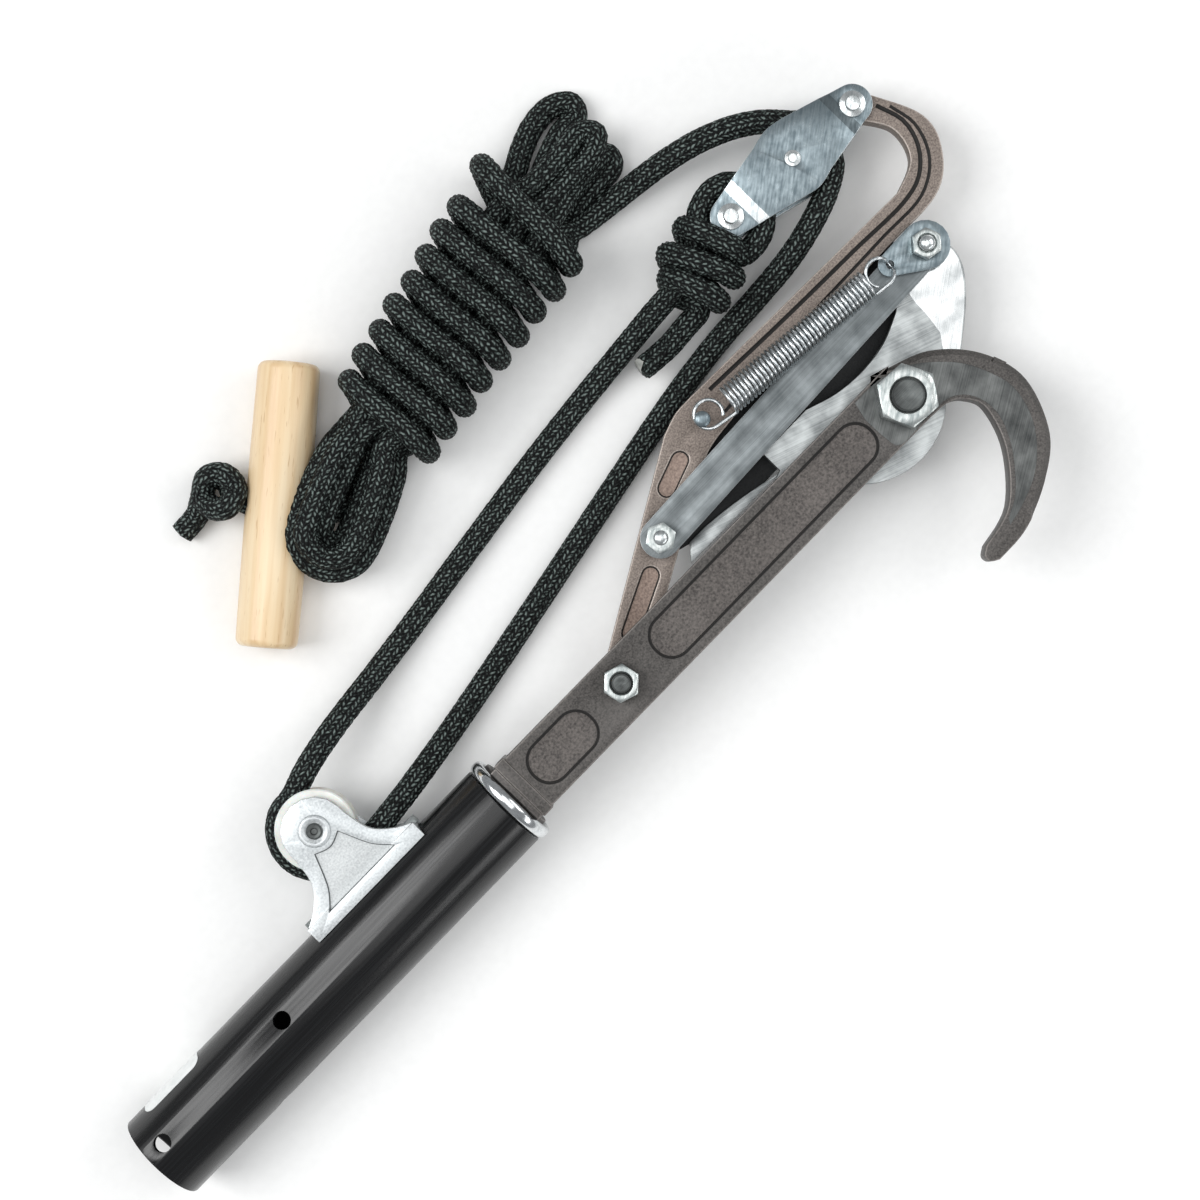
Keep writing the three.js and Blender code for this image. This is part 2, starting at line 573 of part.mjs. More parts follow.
// ---- lower pulley -----------------------------------------------------------------------
function cheekOutline() {
  const [x, y] = LOWER_SHEAVE_PLACE;
  const half = BRACKET_FOOT_LENGTH / 2;
  const outline = new THREE.Shape();
  outline.moveTo(x + half, footBottom);
  outline.lineTo(x + half, footTop);
  smooth(outline, [[x + 22, 25], [x + 15.5, 32], [x + BRACKET_BOSS_RADIUS, y - 3]]);
  outline.absarc(x, y, BRACKET_BOSS_RADIUS, 0, Math.PI, false);
  outline.lineTo(x - BRACKET_BOSS_RADIUS, y - 3);
  smooth(outline, [[x - 15.5, 32], [x - 22, 25], [x - half, footTop]]);
  outline.lineTo(x - half, footBottom);
  outline.closePath();
  return outline;
}

function pulleyBracket() {
  const [x, y] = LOWER_SHEAVE_PLACE;
  const half = BRACKET_FOOT_LENGTH / 2;
  const side = BRACKET_SIDE_WIDTH / 2;
  const cheeks = slab(cheekOutline(), -cheekOuter, cheekOuter);
  const foot = block([x - half, footBottom, -side], [x + half, footTop, side]);
  const slot = block([x - 60, footSlot, -cheekInner], [x + 60, y + 40, cheekInner]);
  const saddle = roller(tubeRadius + FACE_GAP, x - 40, x + 40);
  const window = new THREE.Shape();
  window.moveTo(x - 18.3, footTop - 1.2);
  smooth(window, [[x - 12, 27], [x - 6.4, 39.6]]);
  smooth(window, [[x, 37.4], [x + 6.4, 39.6]]);
  smooth(window, [[x + 12, 27], [x + 18.3, footTop - 1.2]]);
  window.closePath();
  const recessFront = slab(window, cheekOuter - PANEL_DEPTH, cheekOuter + 9);
  const recessRear = slab(window, -cheekOuter - 9, -cheekOuter + PANEL_DEPTH);
  const screwHoles = bracketScrewPlaces().map((place) => screwBar(place, 2 + HOLE_CLEARANCE, -5, 40));
  const bracket = cut(
    joined(cheeks, foot),
    slot,
    saddle,
    recessFront,
    recessRear,
    hole(LOWER_SHEAVE_PLACE, SHEAVE_RIVET.radius),
    ...screwHoles,
  );
  return part("pulley_bracket", bracket, CAST_ALUMINIUM);
}

function bracketScrewPlaces() {
  const reach = BRACKET_FOOT_LENGTH / 2 - SCREW_EDGE_DISTANCE;
  return [-1, 1].map((way) => LOWER_SHEAVE_PLACE[0] + way * reach);
}

/** A bar along Y at a place on the tube's length. */
function screwBar(x, radius, start, end, segments = 24) {
  const geometry = new THREE.CylinderGeometry(radius, radius, end - start, segments);
  return solid(geometry.translate(x, (start + end) / 2, 0));
}

function bracketScrews() {
  const seat = footSlot + FACE_GAP;
  return bracketScrewPlaces().map((place, index) => {
    const head = screwBar(place, SCREW_HEAD_FLATS / Math.sqrt(3), seat, seat + SCREW_HEAD_HEIGHT, 6);
    const shank = screwBar(place, 2, tubeRadius + FACE_GAP, seat + 0.2);
    return part(`bracket_screw_${index + 1}`, joined(head, shank), GREY_STEEL);
  });
}

/** A grooved wheel whose groove holds the rope. */
function sheave(name, place, size) {
  const half = sheaveHalfWidth;
  const groove = ropeRadius + GROOVE_CLEARANCE; // the groove's own round section
  const grooveCentre = size.rootRadius + groove;
  const widest = Math.acos((grooveCentre - size.flangeRadius) / groove);
  const profile = [[size.boreRadius, -half], [size.flangeRadius, -half]];
  const steps = 6;
  for (let step = 0; step <= steps; step += 1) {
    const angle = widest * (1 - (2 * step) / steps);
    profile.push([grooveCentre - groove * Math.cos(angle), -groove * Math.sin(angle)]);
  }
  profile.push([size.flangeRadius, half], [size.boreRadius, half], profile[0]);
  return part(name, turned(place, profile, 28), NYLON);
}

function rivet(name, place, size, grip) {
  const reach = grip + FACE_GAP;
  const body = joined(
    post(place, size.radius, -reach - 0.1, reach + 0.1, 24),
    post(place, size.headRadius, reach, reach + size.headHeight, 24),
    post(place, size.headRadius, -reach - size.headHeight, -reach, 24),
  );
  return part(name, body, ZINC);
}

// ---- upper block ------------------------------------------------------------------------
function plateOutline() {
  const [x, y] = UPPER_SHEAVE_PLACE;
  const outline = new THREE.Shape();
  outline.absarc(...BECKET_PLACE, PLATE_LEFT_RADIUS, 0.56 * Math.PI, 1.44 * Math.PI, false);
  outline.lineTo(x - 8, y - PLATE_HALF_WIDTH + 1.6);
  smooth(outline, [[x, y - PLATE_HALF_WIDTH], [x + 8, y - PLATE_HALF_WIDTH + 1.7]]);
  outline.lineTo(BLOCK_PIVOT[0] - 1, BLOCK_PIVOT[1] - PLATE_RIGHT_RADIUS);
  outline.absarc(...BLOCK_PIVOT, PLATE_RIGHT_RADIUS, -0.5 * Math.PI, 0.42 * Math.PI, false);
  outline.lineTo(x + 8, y + PLATE_HALF_WIDTH - 1.3);
  smooth(outline, [[x, y + PLATE_HALF_WIDTH], [x - 8, y + PLATE_HALF_WIDTH - 1.6]]);
  outline.closePath();
  return outline;
}

/** The block plate's edge view in the XZ plane: raised over the sheave, stepped in at both ends. */
function blockPlate(name, way) {
  const [left, right] = JOGGLE_PLACES;
  const start = BECKET_PLACE[0] - 30;
  const end = BLOCK_PIVOT[0] + 30;
  const edge = new THREE.Shape();
  const run = [
    [start, plateEndInner], [left, plateEndInner], [left + JOGGLE_LENGTH, plateInner],
    [right - JOGGLE_LENGTH, plateInner], [right, plateEndInner], [end, plateEndInner],
    [end, plateEndOuter], [right, plateEndOuter], [right - JOGGLE_LENGTH, plateOuter],
    [left + JOGGLE_LENGTH, plateOuter], [left, plateEndOuter], [start, plateEndOuter],
  ];
  run.forEach(([x, z], index) => (index ? edge.lineTo(x, way * z) : edge.moveTo(x, way * z)));
  edge.closePath();
  const bent = new THREE.ExtrudeGeometry(edge, { depth: 80, bevelEnabled: false });
  bent.rotateX(Math.PI / 2).translate(0, UPPER_SHEAVE_PLACE[1] + 40, 0);
  const strip = solid(bent);
  const blank = slab(plateOutline(), -30, 30, 8);
  const plate = cut(
    strip.intersect(blank),
    hole(BECKET_PLACE, BLOCK_BOLT.radius),
    hole(BLOCK_PIVOT, BLOCK_BOLT.radius),
    hole(UPPER_SHEAVE_PLACE, SHEAVE_RIVET.radius),
  );
  return part(name, plate, ZINC);
}

// ---- rope -------------------------------------------------------------------------------
const lowerWrap = LOWER_SHEAVE.rootRadius + ropeRadius + GROOVE_CLEARANCE;
const upperWrap = UPPER_SHEAVE.rootRadius + ropeRadius + GROOVE_CLEARANCE;

/** Points on a half circle about a sheave, between two angles in degrees. */
function around([x, y], radius, from, to, steps) {
  return Array.from({ length: steps + 1 }, (_, step) => {
    const angle = THREE.MathUtils.degToRad(from + ((to - from) * step) / steps);
    return [x + radius * Math.cos(angle), y + radius * Math.sin(angle), 0];
  });
}

/** The rope that runs from the becket knot round both sheaves. It sags to the floor between. */
const REEVE_ROUTE = [
  [380.5, 92.6, -1],
  [366, 92, -6],
  [351, 91, -11],
  [325, 89, ropeRest + 0.6],
  [300, 86.5, ropeRest],
  [250, 80, ropeRest],
  [215, 75.2, ropeRest + 0.6],
  [190, 72, -11],
  [165, 68.8, -4],
  [148, 65.4, -0.6],
  ...around(LOWER_SHEAVE_PLACE, lowerWrap, 84, 262, 7),
  [146, 29, -0.2],
  [163, 30.4, -3],
  [185, 33.4, -9.5],
  [208, 37.2, ropeRest + 1],
  [250, 44.8, ropeRest],
  [300, 54.2, ropeRest],
  [351, 63.4, ropeRest],
  [380, 66.8, ropeRest + 0.6],
  [402, 67.8, -11.5],
  [422, 69.2, -5],
  [438, 72.6, -1],
  [450, 76.9, 0],
  [459, 82.6, 0],
  ...around(UPPER_SHEAVE_PLACE, upperWrap, -25, 20, 3),
];

const FALL_ROUTE = [
  ...around(UPPER_SHEAVE_PLACE, upperWrap, 27, 47, 2),
  [452, 113, 0],
  [443, 119.6, 0],
  [430, 125.8, -1.6],
  [414, 130.6, -5.6],
  [398, 133.6, -10],
  [384, 135.6, -13.2],
];

const BECKET_ROUTE = [
  [406.9, 107.2, 0],
  [411, 108.8, 0],
  [418, 108.6, 0],
  [425, 105.2, 0],
  [428.9, 99, 0],
  [429, 93, 0],
  [425, 87, 0],
  [418, 83.6, 0],
  [410.6, 84, 0],
];

function ropeLine(route) {
  const points = route.map((point) => new THREE.Vector3(...point));
  return new THREE.CatmullRomCurve3(points, false, "centripetal");
}

function ropeTube(name, curve, steps) {
  return part(name, solid(wire(curve, ROPE_DIAMETER, 10, steps)), BLACK_ROPE);
}

/** One length of a rope's line, between two distances along it. */
function ropeSpan(curve, from, to) {
  const length = curve.getLength();
  const steps = Math.ceil((to - from) / 5);
  const points = Array.from({ length: steps + 1 }, (_, step) =>
    curve.getPointAt((from + ((to - from) * step) / steps) / length),
  );
  return new THREE.CatmullRomCurve3(points, false, "centripetal");
}

/** The reeved rope in three lengths: the middle one is what lies on the floor next to the lever. */
function reevedRope() {
  const line = ropeLine(REEVE_ROUTE);
  const [start, end] = FLOOR_SPAN;
  const tail = line.getLength();
  return [
    ropeTube("rope_reeve", ropeSpan(line, 0, start - FACE_GAP), 44),
    ropeTube("rope_floor_run", ropeSpan(line, start, end), 12),
    ropeTube("rope_lead", ropeSpan(line, end + FACE_GAP, tail), 20),
  ];
}

function becketKnot() {
  const outline = new THREE.Shape();
  outline.moveTo(386, 76.5);
  smooth(outline, [[395, 73.6], [403, 76], [405, 84], [404.6, 100]]);
  smooth(outline, [[404.5, 111], [399.6, 115], [394.4, 110.6], [388, 110.4], [385, 104]]);
  smooth(outline, [[386, 96], [385.8, 84], [386, 76.5]]);
  outline.closePath();
  return part("becket_knot", slab(outline, -KNOT_RADIUS, KNOT_RADIUS, 3), BLACK_ROPE);
}

function becketTail() {
  const tail = roundEnded([354, 79.8], ropeRadius, [380.5, 80.6]);
  return part("becket_tail", slab(tail, -KNOT_RADIUS, -KNOT_RADIUS + ROPE_DIAMETER), BLACK_ROPE);
}

// The handle lies on the floor and leans across the hank's looped end, which covers one side.
const handleHeading = THREE.MathUtils.degToRad(HANDLE_TURN);
const handleLevel = floorLevel + HANDLE_RADIUS;

/** A round bar along the handle's axis, with a straight-sided foot down to the floor. */
function handleBed() {
  const radius = HANDLE_RADIUS + FACE_GAP;
  const length = HANDLE_LENGTH + 20;
  const bar = new THREE.CylinderGeometry(radius, radius, length, 32).rotateZ(handleHeading - Math.PI / 2);
  const foot = new THREE.BoxGeometry(length, 2 * radius, HANDLE_RADIUS + 1).rotateZ(handleHeading);
  return joined(
    solid(bar.translate(...HANDLE_PLACE, handleLevel)),
    solid(foot.translate(...HANDLE_PLACE, floorLevel + (HANDLE_RADIUS - 1) / 2)),
  );
}

/** The hank: the wound body between a looped end on each side. */
function ropeHank() {
  const outline = new THREE.Shape();
  outline.moveTo(262, 114.5);
  outline.lineTo(361, 123.4);
  smooth(outline, [[363.5, 131], [380.6, 142.2], [403, 146.6], [411.5, 158], [413.6, 175], [404, 183],
    [386, 179.6], [368, 172.6]]);
  smooth(outline, [[366, 181], [358, 184.6], [350, 182.8]]);
  outline.lineTo(262, 164.2);
  smooth(outline, [[250, 158.6], [232, 156.4], [212, 144], [198.6, 128], [197.6, 113], [210, 103],
    [230, 108.6], [246, 110.4], [262, 114.5]]);
  outline.closePath();
  const body = cut(slab(outline, floorLevel, floorLevel + HANK_HEIGHT, 3), handleBed());
  return part("rope_hank", body, BLACK_ROPE);
}

function toggleHandle() {
  const half = HANDLE_LENGTH / 2;
  const edge = 2.5;
  const points = [[0, -half], [HANDLE_RADIUS - edge, -half], [HANDLE_RADIUS, -half + edge],
    [HANDLE_RADIUS, half - edge], [HANDLE_RADIUS - edge, half], [0, half]];
  const geometry = new THREE.LatheGeometry(points.map((point) => new THREE.Vector2(...point)), 32);
  const bore = new THREE.CylinderGeometry(HANDLE_BORE_RADIUS, HANDLE_BORE_RADIUS, 4 * HANDLE_RADIUS, 24);
  const body = cut(solid(geometry), solid(bore.rotateZ(Math.PI / 2)));
  const turnedGeometry = surface(body);
  turnedGeometry.rotateZ(handleHeading - Math.PI / 2).translate(...HANDLE_PLACE, handleLevel);
  return part("toggle_handle", turnedGeometry, BEECH);
}

function stopperKnot() {
  const outline = new THREE.Shape();
  outline.moveTo(193, 150.5);
  smooth(outline, [[203, 156], [211.5, 164.5], [210.6, 172.6], [203, 178], [194.6, 172.4]]);
  outline.lineTo(178, 171);
  smooth(outline, [[174.4, 167.4], [179, 160.6]]);
  outline.lineTo(189, 160.4);
  smooth(outline, [[189.4, 154], [193, 150.5]]);
  outline.closePath();
  return part("stopper_knot", slab(outline, floorLevel, floorLevel + 2 * KNOT_RADIUS - 4, 3), BLACK_ROPE);
}

// ---- the tool ---------------------------------------------------------------------------
const tool = new THREE.Group();
tool.add(
  socketTube(),
  endRing(),
  hookCasting(),
  pulleyBracket(),
  ...bracketScrews(),
  sheave("lower_sheave", LOWER_SHEAVE_PLACE, LOWER_SHEAVE),
  rivet("lower_axle", LOWER_SHEAVE_PLACE, SHEAVE_RIVET, cheekOuter),
  leverCasting(),
  stopFinger(),
  springPin(),
  blade(),
  frontLink(),
  rearLink(),
  springTab(),
  ...fasteners(),
  springCoil(),
  ...springLoops(),
  blockPlate("block_plate_front", 1),
  blockPlate("block_plate_rear", -1),
  sheave("upper_sheave", UPPER_SHEAVE_PLACE, UPPER_SHEAVE),
  rivet("sheave_rivet", UPPER_SHEAVE_PLACE, SHEAVE_RIVET, plateOuter),
  rivet("becket_bolt", BECKET_PLACE, BLOCK_BOLT, plateEndOuter),
  rivet("block_bolt", BLOCK_PIVOT, BLOCK_BOLT, plateEndOuter),
);

// The tool's own box, without its rope, sets the origin: the middle of its footprint, to 0.1 mm.
const box = new THREE.Box3().setFromObject(tool);
const centre = box.getCenter(new THREE.Vector3());
const tenth = (length) => Math.round(length * 10) / 10;

tool.add(
  ...reevedRope(),
  ropeTube("rope_fall", ropeLine(FALL_ROUTE), 12),
  ropeTube("becket_loop", ropeLine(BECKET_ROUTE), 16),
  becketKnot(),
  becketTail(),
  ropeHank(),
  toggleHandle(),
  stopperKnot(),
);
tool.position.set(tenth(-centre.x), tenth(-centre.y), tenth(-box.min.z));

export default tool;
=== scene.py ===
"""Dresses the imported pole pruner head: castings, bright metal, rope, wooden toggle, studio."""

import logging
import math
import random
from dataclasses import dataclass, field
from enum import Enum

import bpy
from mathutils import Matrix, Vector


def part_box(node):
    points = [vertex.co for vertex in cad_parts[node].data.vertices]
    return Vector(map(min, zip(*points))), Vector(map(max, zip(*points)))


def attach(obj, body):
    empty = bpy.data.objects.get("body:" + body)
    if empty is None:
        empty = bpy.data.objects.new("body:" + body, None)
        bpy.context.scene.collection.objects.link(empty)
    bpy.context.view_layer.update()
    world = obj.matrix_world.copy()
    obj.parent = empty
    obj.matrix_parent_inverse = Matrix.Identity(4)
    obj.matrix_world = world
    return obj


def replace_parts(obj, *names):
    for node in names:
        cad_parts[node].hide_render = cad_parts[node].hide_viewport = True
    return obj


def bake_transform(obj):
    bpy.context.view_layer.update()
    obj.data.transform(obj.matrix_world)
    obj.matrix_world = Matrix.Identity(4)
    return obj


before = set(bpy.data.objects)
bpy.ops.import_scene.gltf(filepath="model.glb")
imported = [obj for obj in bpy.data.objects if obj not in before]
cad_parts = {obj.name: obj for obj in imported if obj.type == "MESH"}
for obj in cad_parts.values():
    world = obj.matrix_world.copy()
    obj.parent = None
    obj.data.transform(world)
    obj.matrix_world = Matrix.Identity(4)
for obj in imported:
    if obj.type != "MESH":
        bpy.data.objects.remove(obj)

LOG = logging.getLogger("pruner")
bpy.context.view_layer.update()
MM = 0.001

TUBE_LOW, TUBE_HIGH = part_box("socket_tube")
ORIGIN = Vector((TUBE_LOW.x, (TUBE_LOW.y + TUBE_HIGH.y) / 2, (TUBE_LOW.z + TUBE_HIGH.z) / 2))


def at(x: float, y: float, z: float = 0.0) -> Vector:
    """Turns tool millimetres, from the socket's mouth on its axis, into the frame's metres.

    Args:
        x: distance along the socket towards the hook.
        y: distance across, towards the pulleys.
        z: height above the socket's axis.

    Returns:
        The place in the frame.
    """
    return ORIGIN + Vector((x, y, z)) * MM



# ---- finishes ---------------------------------------------------------------------------


def linear(colour: str) -> tuple[float, float, float, float]:
    """Turns an sRGB hex value into a linear colour.

    Args:
        colour: six hex digits after a hash.

    Returns:
        Red, green, blue and alpha.
    """
    parts = [int(colour[i:i + 2], 16) / 255 for i in (1, 3, 5)]
    red, green, blue = (p / 12.92 if p <= 0.04045 else ((p + 0.055) / 1.055) ** 2.4 for p in parts)
    return red, green, blue, 1.0


def add(tree: bpy.types.NodeTree, kind: str, options: dict | None = None, **inputs: object) -> bpy.types.Node:
    """Adds a shader node with its settings and its inputs, each a value or a link.

    Args:
        tree: the material's node tree.
        kind: the node's type without its prefix.
        options: settings on the node itself.
        inputs: socket names with underscores for spaces, or in_0, in_1 by place.

    Returns:
        The node.
    """
    node = tree.nodes.new("ShaderNode" + kind)
    for name, value in (options or {}).items():
        setattr(node, name, value)
    for name, value in inputs.items():
        socket = node.inputs[int(name[3:])] if name.startswith("in_") else node.inputs[name.replace("_", " ")]
        if isinstance(value, bpy.types.NodeSocket):
            tree.links.new(value, socket)
        else:
            socket.default_value = value
    return node


def shades(tree: bpy.types.NodeTree, factor: bpy.types.NodeSocket,
           stops: list[tuple[float, str]]) -> bpy.types.NodeSocket:
    """Colours a pattern through a ramp.

    Args:
        tree: the material's node tree.
        factor: the pattern.
        stops: places from 0 to 1 and their hex colours.

    Returns:
        The colour output.
    """
    ramp = add(tree, "ValToRGB", Fac=factor)
    elements = ramp.color_ramp.elements
    while len(elements) < len(stops):
        elements.new(0.5)
    for element, (place, colour) in zip(elements, stops):
        element.position = place
        element.color = linear(colour)
    return ramp.outputs["Color"]


def level(tree: bpy.types.NodeTree, value: bpy.types.NodeSocket, low: float, high: float,
          to_low: float, to_high: float) -> bpy.types.NodeSocket:
    """Maps a pattern's range onto another.

    Args:
        tree: the material's node tree.
        value: the pattern.
        low: where its range starts.
        high: where its range ends.
        to_low: the result at the start.
        to_high: the result at the end.

    Returns:
        The mapped value.
    """
    return add(tree, "MapRange", in_0=value, in_1=low, in_2=high, in_3=to_low, in_4=to_high).outputs[0]


@dataclass(frozen=True)
class Finish:
    """A material by name, with the values that are the same all over it."""

    name: str
    roughness: float = 0.5
    metallic: float = 0.0

    def shader(self, tree: bpy.types.NodeTree, spot: bpy.types.NodeSocket) -> dict[str, object]:
        """Builds the patterns and returns the shader's inputs. Each finish has its own."""
        raise NotImplementedError

    def material(self) -> bpy.types.Material:
        """Returns the material, made once."""
        made = bpy.data.materials.get(self.name)
        if made:
            return made
        made = bpy.data.materials.new(self.name)
        made.use_nodes = True
        tree = made.node_tree
        tree.nodes.clear()
        spot = add(tree, "TexCoord").outputs["Object"]
        inputs = {"Roughness": self.roughness, "Metallic": self.metallic, **self.shader(tree, spot)}
        shader = add(tree, "BsdfPrincipled", **{k.replace(" ", "_"): v for k, v in inputs.items()})
        add(tree, "OutputMaterial", Surface=shader.outputs[0])
        return made


def noise(tree: bpy.types.NodeTree, spot: bpy.types.NodeSocket, size_mm: float, detail: float = 3.0,
          stretch: tuple[float, float, float] = (1, 1, 1), turn: float = 0.0) -> bpy.types.NodeSocket:
    """A cloudy pattern whose patches are about a given size.

    Args:
        tree: the material's node tree.
        spot: the coordinates.
        size_mm: the patches' size in millimetres.
        detail: how many finer layers lie on it.
        stretch: how much finer it is along each axis.
        turn: its turn about Z, in degrees.

    Returns:
        The pattern, from 0 to 1.
    """
    scale = tuple(1 / share for share in stretch)
    place = add(tree, "Mapping", {"vector_type": "TEXTURE"}, Vector=spot, Scale=scale,
                Rotation=(0, 0, math.radians(turn)))
    return add(tree, "TexNoise", Vector=place.outputs[0], Scale=1 / (size_mm * MM), Detail=detail).outputs[0]


def bump(tree: bpy.types.NodeTree, height: bpy.types.NodeSocket, depth_mm: float,
         below: bpy.types.NodeSocket | None = None) -> bpy.types.NodeSocket:
    """Raises a pattern by a real depth.

    Args:
        tree: the material's node tree.
        height: the pattern.
        depth_mm: the relief's depth in millimetres.
        below: a relief that it lies on.

    Returns:
        The normal.
    """
    inputs = {"Normal": below} if below else {}
    return add(tree, "Bump", Height=height, Distance=depth_mm * MM, Strength=1.0, **inputs).outputs[0]


@dataclass(frozen=True)
class SandCast(Finish):
    """Sand-cast steel under a thin oxide: a 0.6 mm grain, cloudy tone, a dull gleam."""

    dark: str = "#494543"
    light: str = "#6d6865"
    grain_mm: float = 0.7
    depth_mm: float = 0.12

    def shader(self, tree: bpy.types.NodeTree, spot: bpy.types.NodeSocket) -> dict[str, object]:
        """Builds grain, clouds and pits."""
        cloud = noise(tree, spot, 24, 3)
        grain = noise(tree, spot, self.grain_mm, 2)
        blend = add(tree, "Math", {"operation": "MULTIPLY_ADD"}, in_0=grain, in_1=0.9, in_2=level(
            tree, cloud, 0.3, 0.7, 0.0, 0.12)).outputs[0]
        rough = level(tree, grain, 0.3, 0.7, self.roughness - 0.1, self.roughness + 0.12)
        return {
            "Base Color": shades(tree, blend, [(0.28, self.dark), (0.72, self.light)]),
            "Roughness": rough,
            "Normal": bump(tree, grain, self.depth_mm),
        }


@dataclass(frozen=True)
class Machined(Finish):
    """Ground or milled steel: fine lines one way, a few scratches, bright and directional."""

    dark: str = "#8d9091"
    light: str = "#dfe1e1"
    turn: float = 0.0
    line_mm: float = 0.35

    def shader(self, tree: bpy.types.NodeTree, spot: bpy.types.NodeSocket) -> dict[str, object]:
        """Builds grinding lines over cloudy wear."""
        lines = noise(tree, spot, self.line_mm * 12, 4, (0.08, 12, 12), self.turn)
        cloud = noise(tree, spot, 9, 4)
        both = add(tree, "Math", {"operation": "MULTIPLY_ADD"}, in_0=lines, in_1=0.5, in_2=level(
            tree, cloud, 0.25, 0.75, 0.0, 0.5)).outputs[0]
        return {
            "Base Color": shades(tree, both, [(0.25, self.dark), (0.7, self.light)]),
            "Roughness": level(tree, both, 0.3, 0.7, self.roughness + 0.12, self.roughness - 0.05),
            "Normal": bump(tree, lines, 0.02),
        }


@dataclass(frozen=True)
class ZincPlate(Finish):
    """Zinc-plated pressed steel: blue-grey patches a few millimetres wide, rubbed marks, satin gloss."""

    dark: str = "#69767c"
    light: str = "#939fa4"
    patch_mm: float = 3.0

    def shader(self, tree: bpy.types.NodeTree, spot: bpy.types.NodeSocket) -> dict[str, object]:
        """Builds patches and rubbed marks."""
        patches = noise(tree, spot, self.patch_mm, 5)
        rubs = noise(tree, spot, 2.2, 4, (0.3, 2.4, 1), 35)
        both = add(tree, "Math", {"operation": "MULTIPLY_ADD"}, in_0=patches, in_1=0.65, in_2=level(
            tree, rubs, 0.3, 0.7, 0.0, 0.35)).outputs[0]
        return {
            "Base Color": shades(tree, both, [(0.3, self.dark), (0.68, self.light)]),
            "Roughness": level(tree, both, 0.3, 0.7, self.roughness + 0.1, self.roughness - 0.08),
            "Normal": bump(tree, rubs, 0.03),
        }


@dataclass(frozen=True)
class Enamel(Finish):
    """Stoved black enamel on drawn tube: deep, slightly wavy gloss with faint rub lines along it."""

    def shader(self, tree: bpy.types.NodeTree, spot: bpy.types.NodeSocket) -> dict[str, object]:
        """Builds the wave of the coat and the rub lines."""
        rubs = noise(tree, spot, 3, 4, (0.06, 3, 3))
        peel = noise(tree, spot, 2.2, 2)
        return {
            "Base Color": shades(tree, rubs, [(0.35, "#050506"), (0.75, "#0e0f11")]),
            "Roughness": level(tree, rubs, 0.35, 0.75, self.roughness, self.roughness + 0.16),
            "Normal": bump(tree, peel, 0.012),
            "Specular IOR Level": 0.5,
        }


@dataclass(frozen=True)
class Nylon(Finish):
    """Moulded natural nylon: milky, satin, with faint flow clouds."""

    def shader(self, tree: bpy.types.NodeTree, spot: bpy.types.NodeSocket) -> dict[str, object]:
        """Builds the clouds and a fine satin relief."""
        cloud = noise(tree, spot, 6, 3)
        return {
            "Base Color": shades(tree, cloud, [(0.3, "#dcdcd6"), (0.7, "#f2f2ee")]),
            "Subsurface Weight": 0.15,
            "Subsurface Scale": 0.002,
            "Normal": bump(tree, noise(tree, spot, 0.6, 2), 0.01),
        }


@dataclass(frozen=True)
class Beech(Finish):
    """Lacquered beech turned on a lathe: growth lines along the handle and short dark flecks."""

    turn: float = 39.5

    def shader(self, tree: bpy.types.NodeTree, spot: bpy.types.NodeSocket) -> dict[str, object]:
        """Builds growth lines, flecks and pores along the handle."""
        growth = noise(tree, spot, 5, 3, (0.05, 1, 1), self.turn)
        flecks = noise(tree, spot, 1.1, 1, (0.16, 1.6, 1.6), self.turn)
        body = shades(tree, growth, [(0.32, "#d9b78b"), (0.5, "#e6caa0"), (0.66, "#efd9b5")])
        dots = level(tree, flecks, 0.66, 0.74, 0.0, 0.55)
        mixed = add(tree, "Mix", {"data_type": "RGBA"}, Factor=dots)
        tree.links.new(body, mixed.inputs["A"] if mixed.inputs["A"].type == "RGBA" else mixed.inputs[6])
        mixed.inputs[7].default_value = linear("#b98d5c")
        return {
            "Base Color": mixed.outputs[2],
            "Roughness": level(tree, growth, 0.3, 0.7, self.roughness, self.roughness + 0.1),
            "Normal": bump(tree, flecks, 0.04),
            "Coat Weight": 0.35,
            "Coat Roughness": 0.2,
        }


@dataclass(frozen=True)
class Satin(Finish):
    """A plain printed-label film: even and satin, with the faintest mottle."""

    dark: str = "#dfe3e2"
    light: str = "#eef0ef"

    def shader(self, tree: bpy.types.NodeTree, spot: bpy.types.NodeSocket) -> dict[str, object]:
        """Builds the mottle."""
        return {"Base Color": shades(tree, noise(tree, spot, 4, 3), [(0.3, self.dark), (0.7, self.light)])}


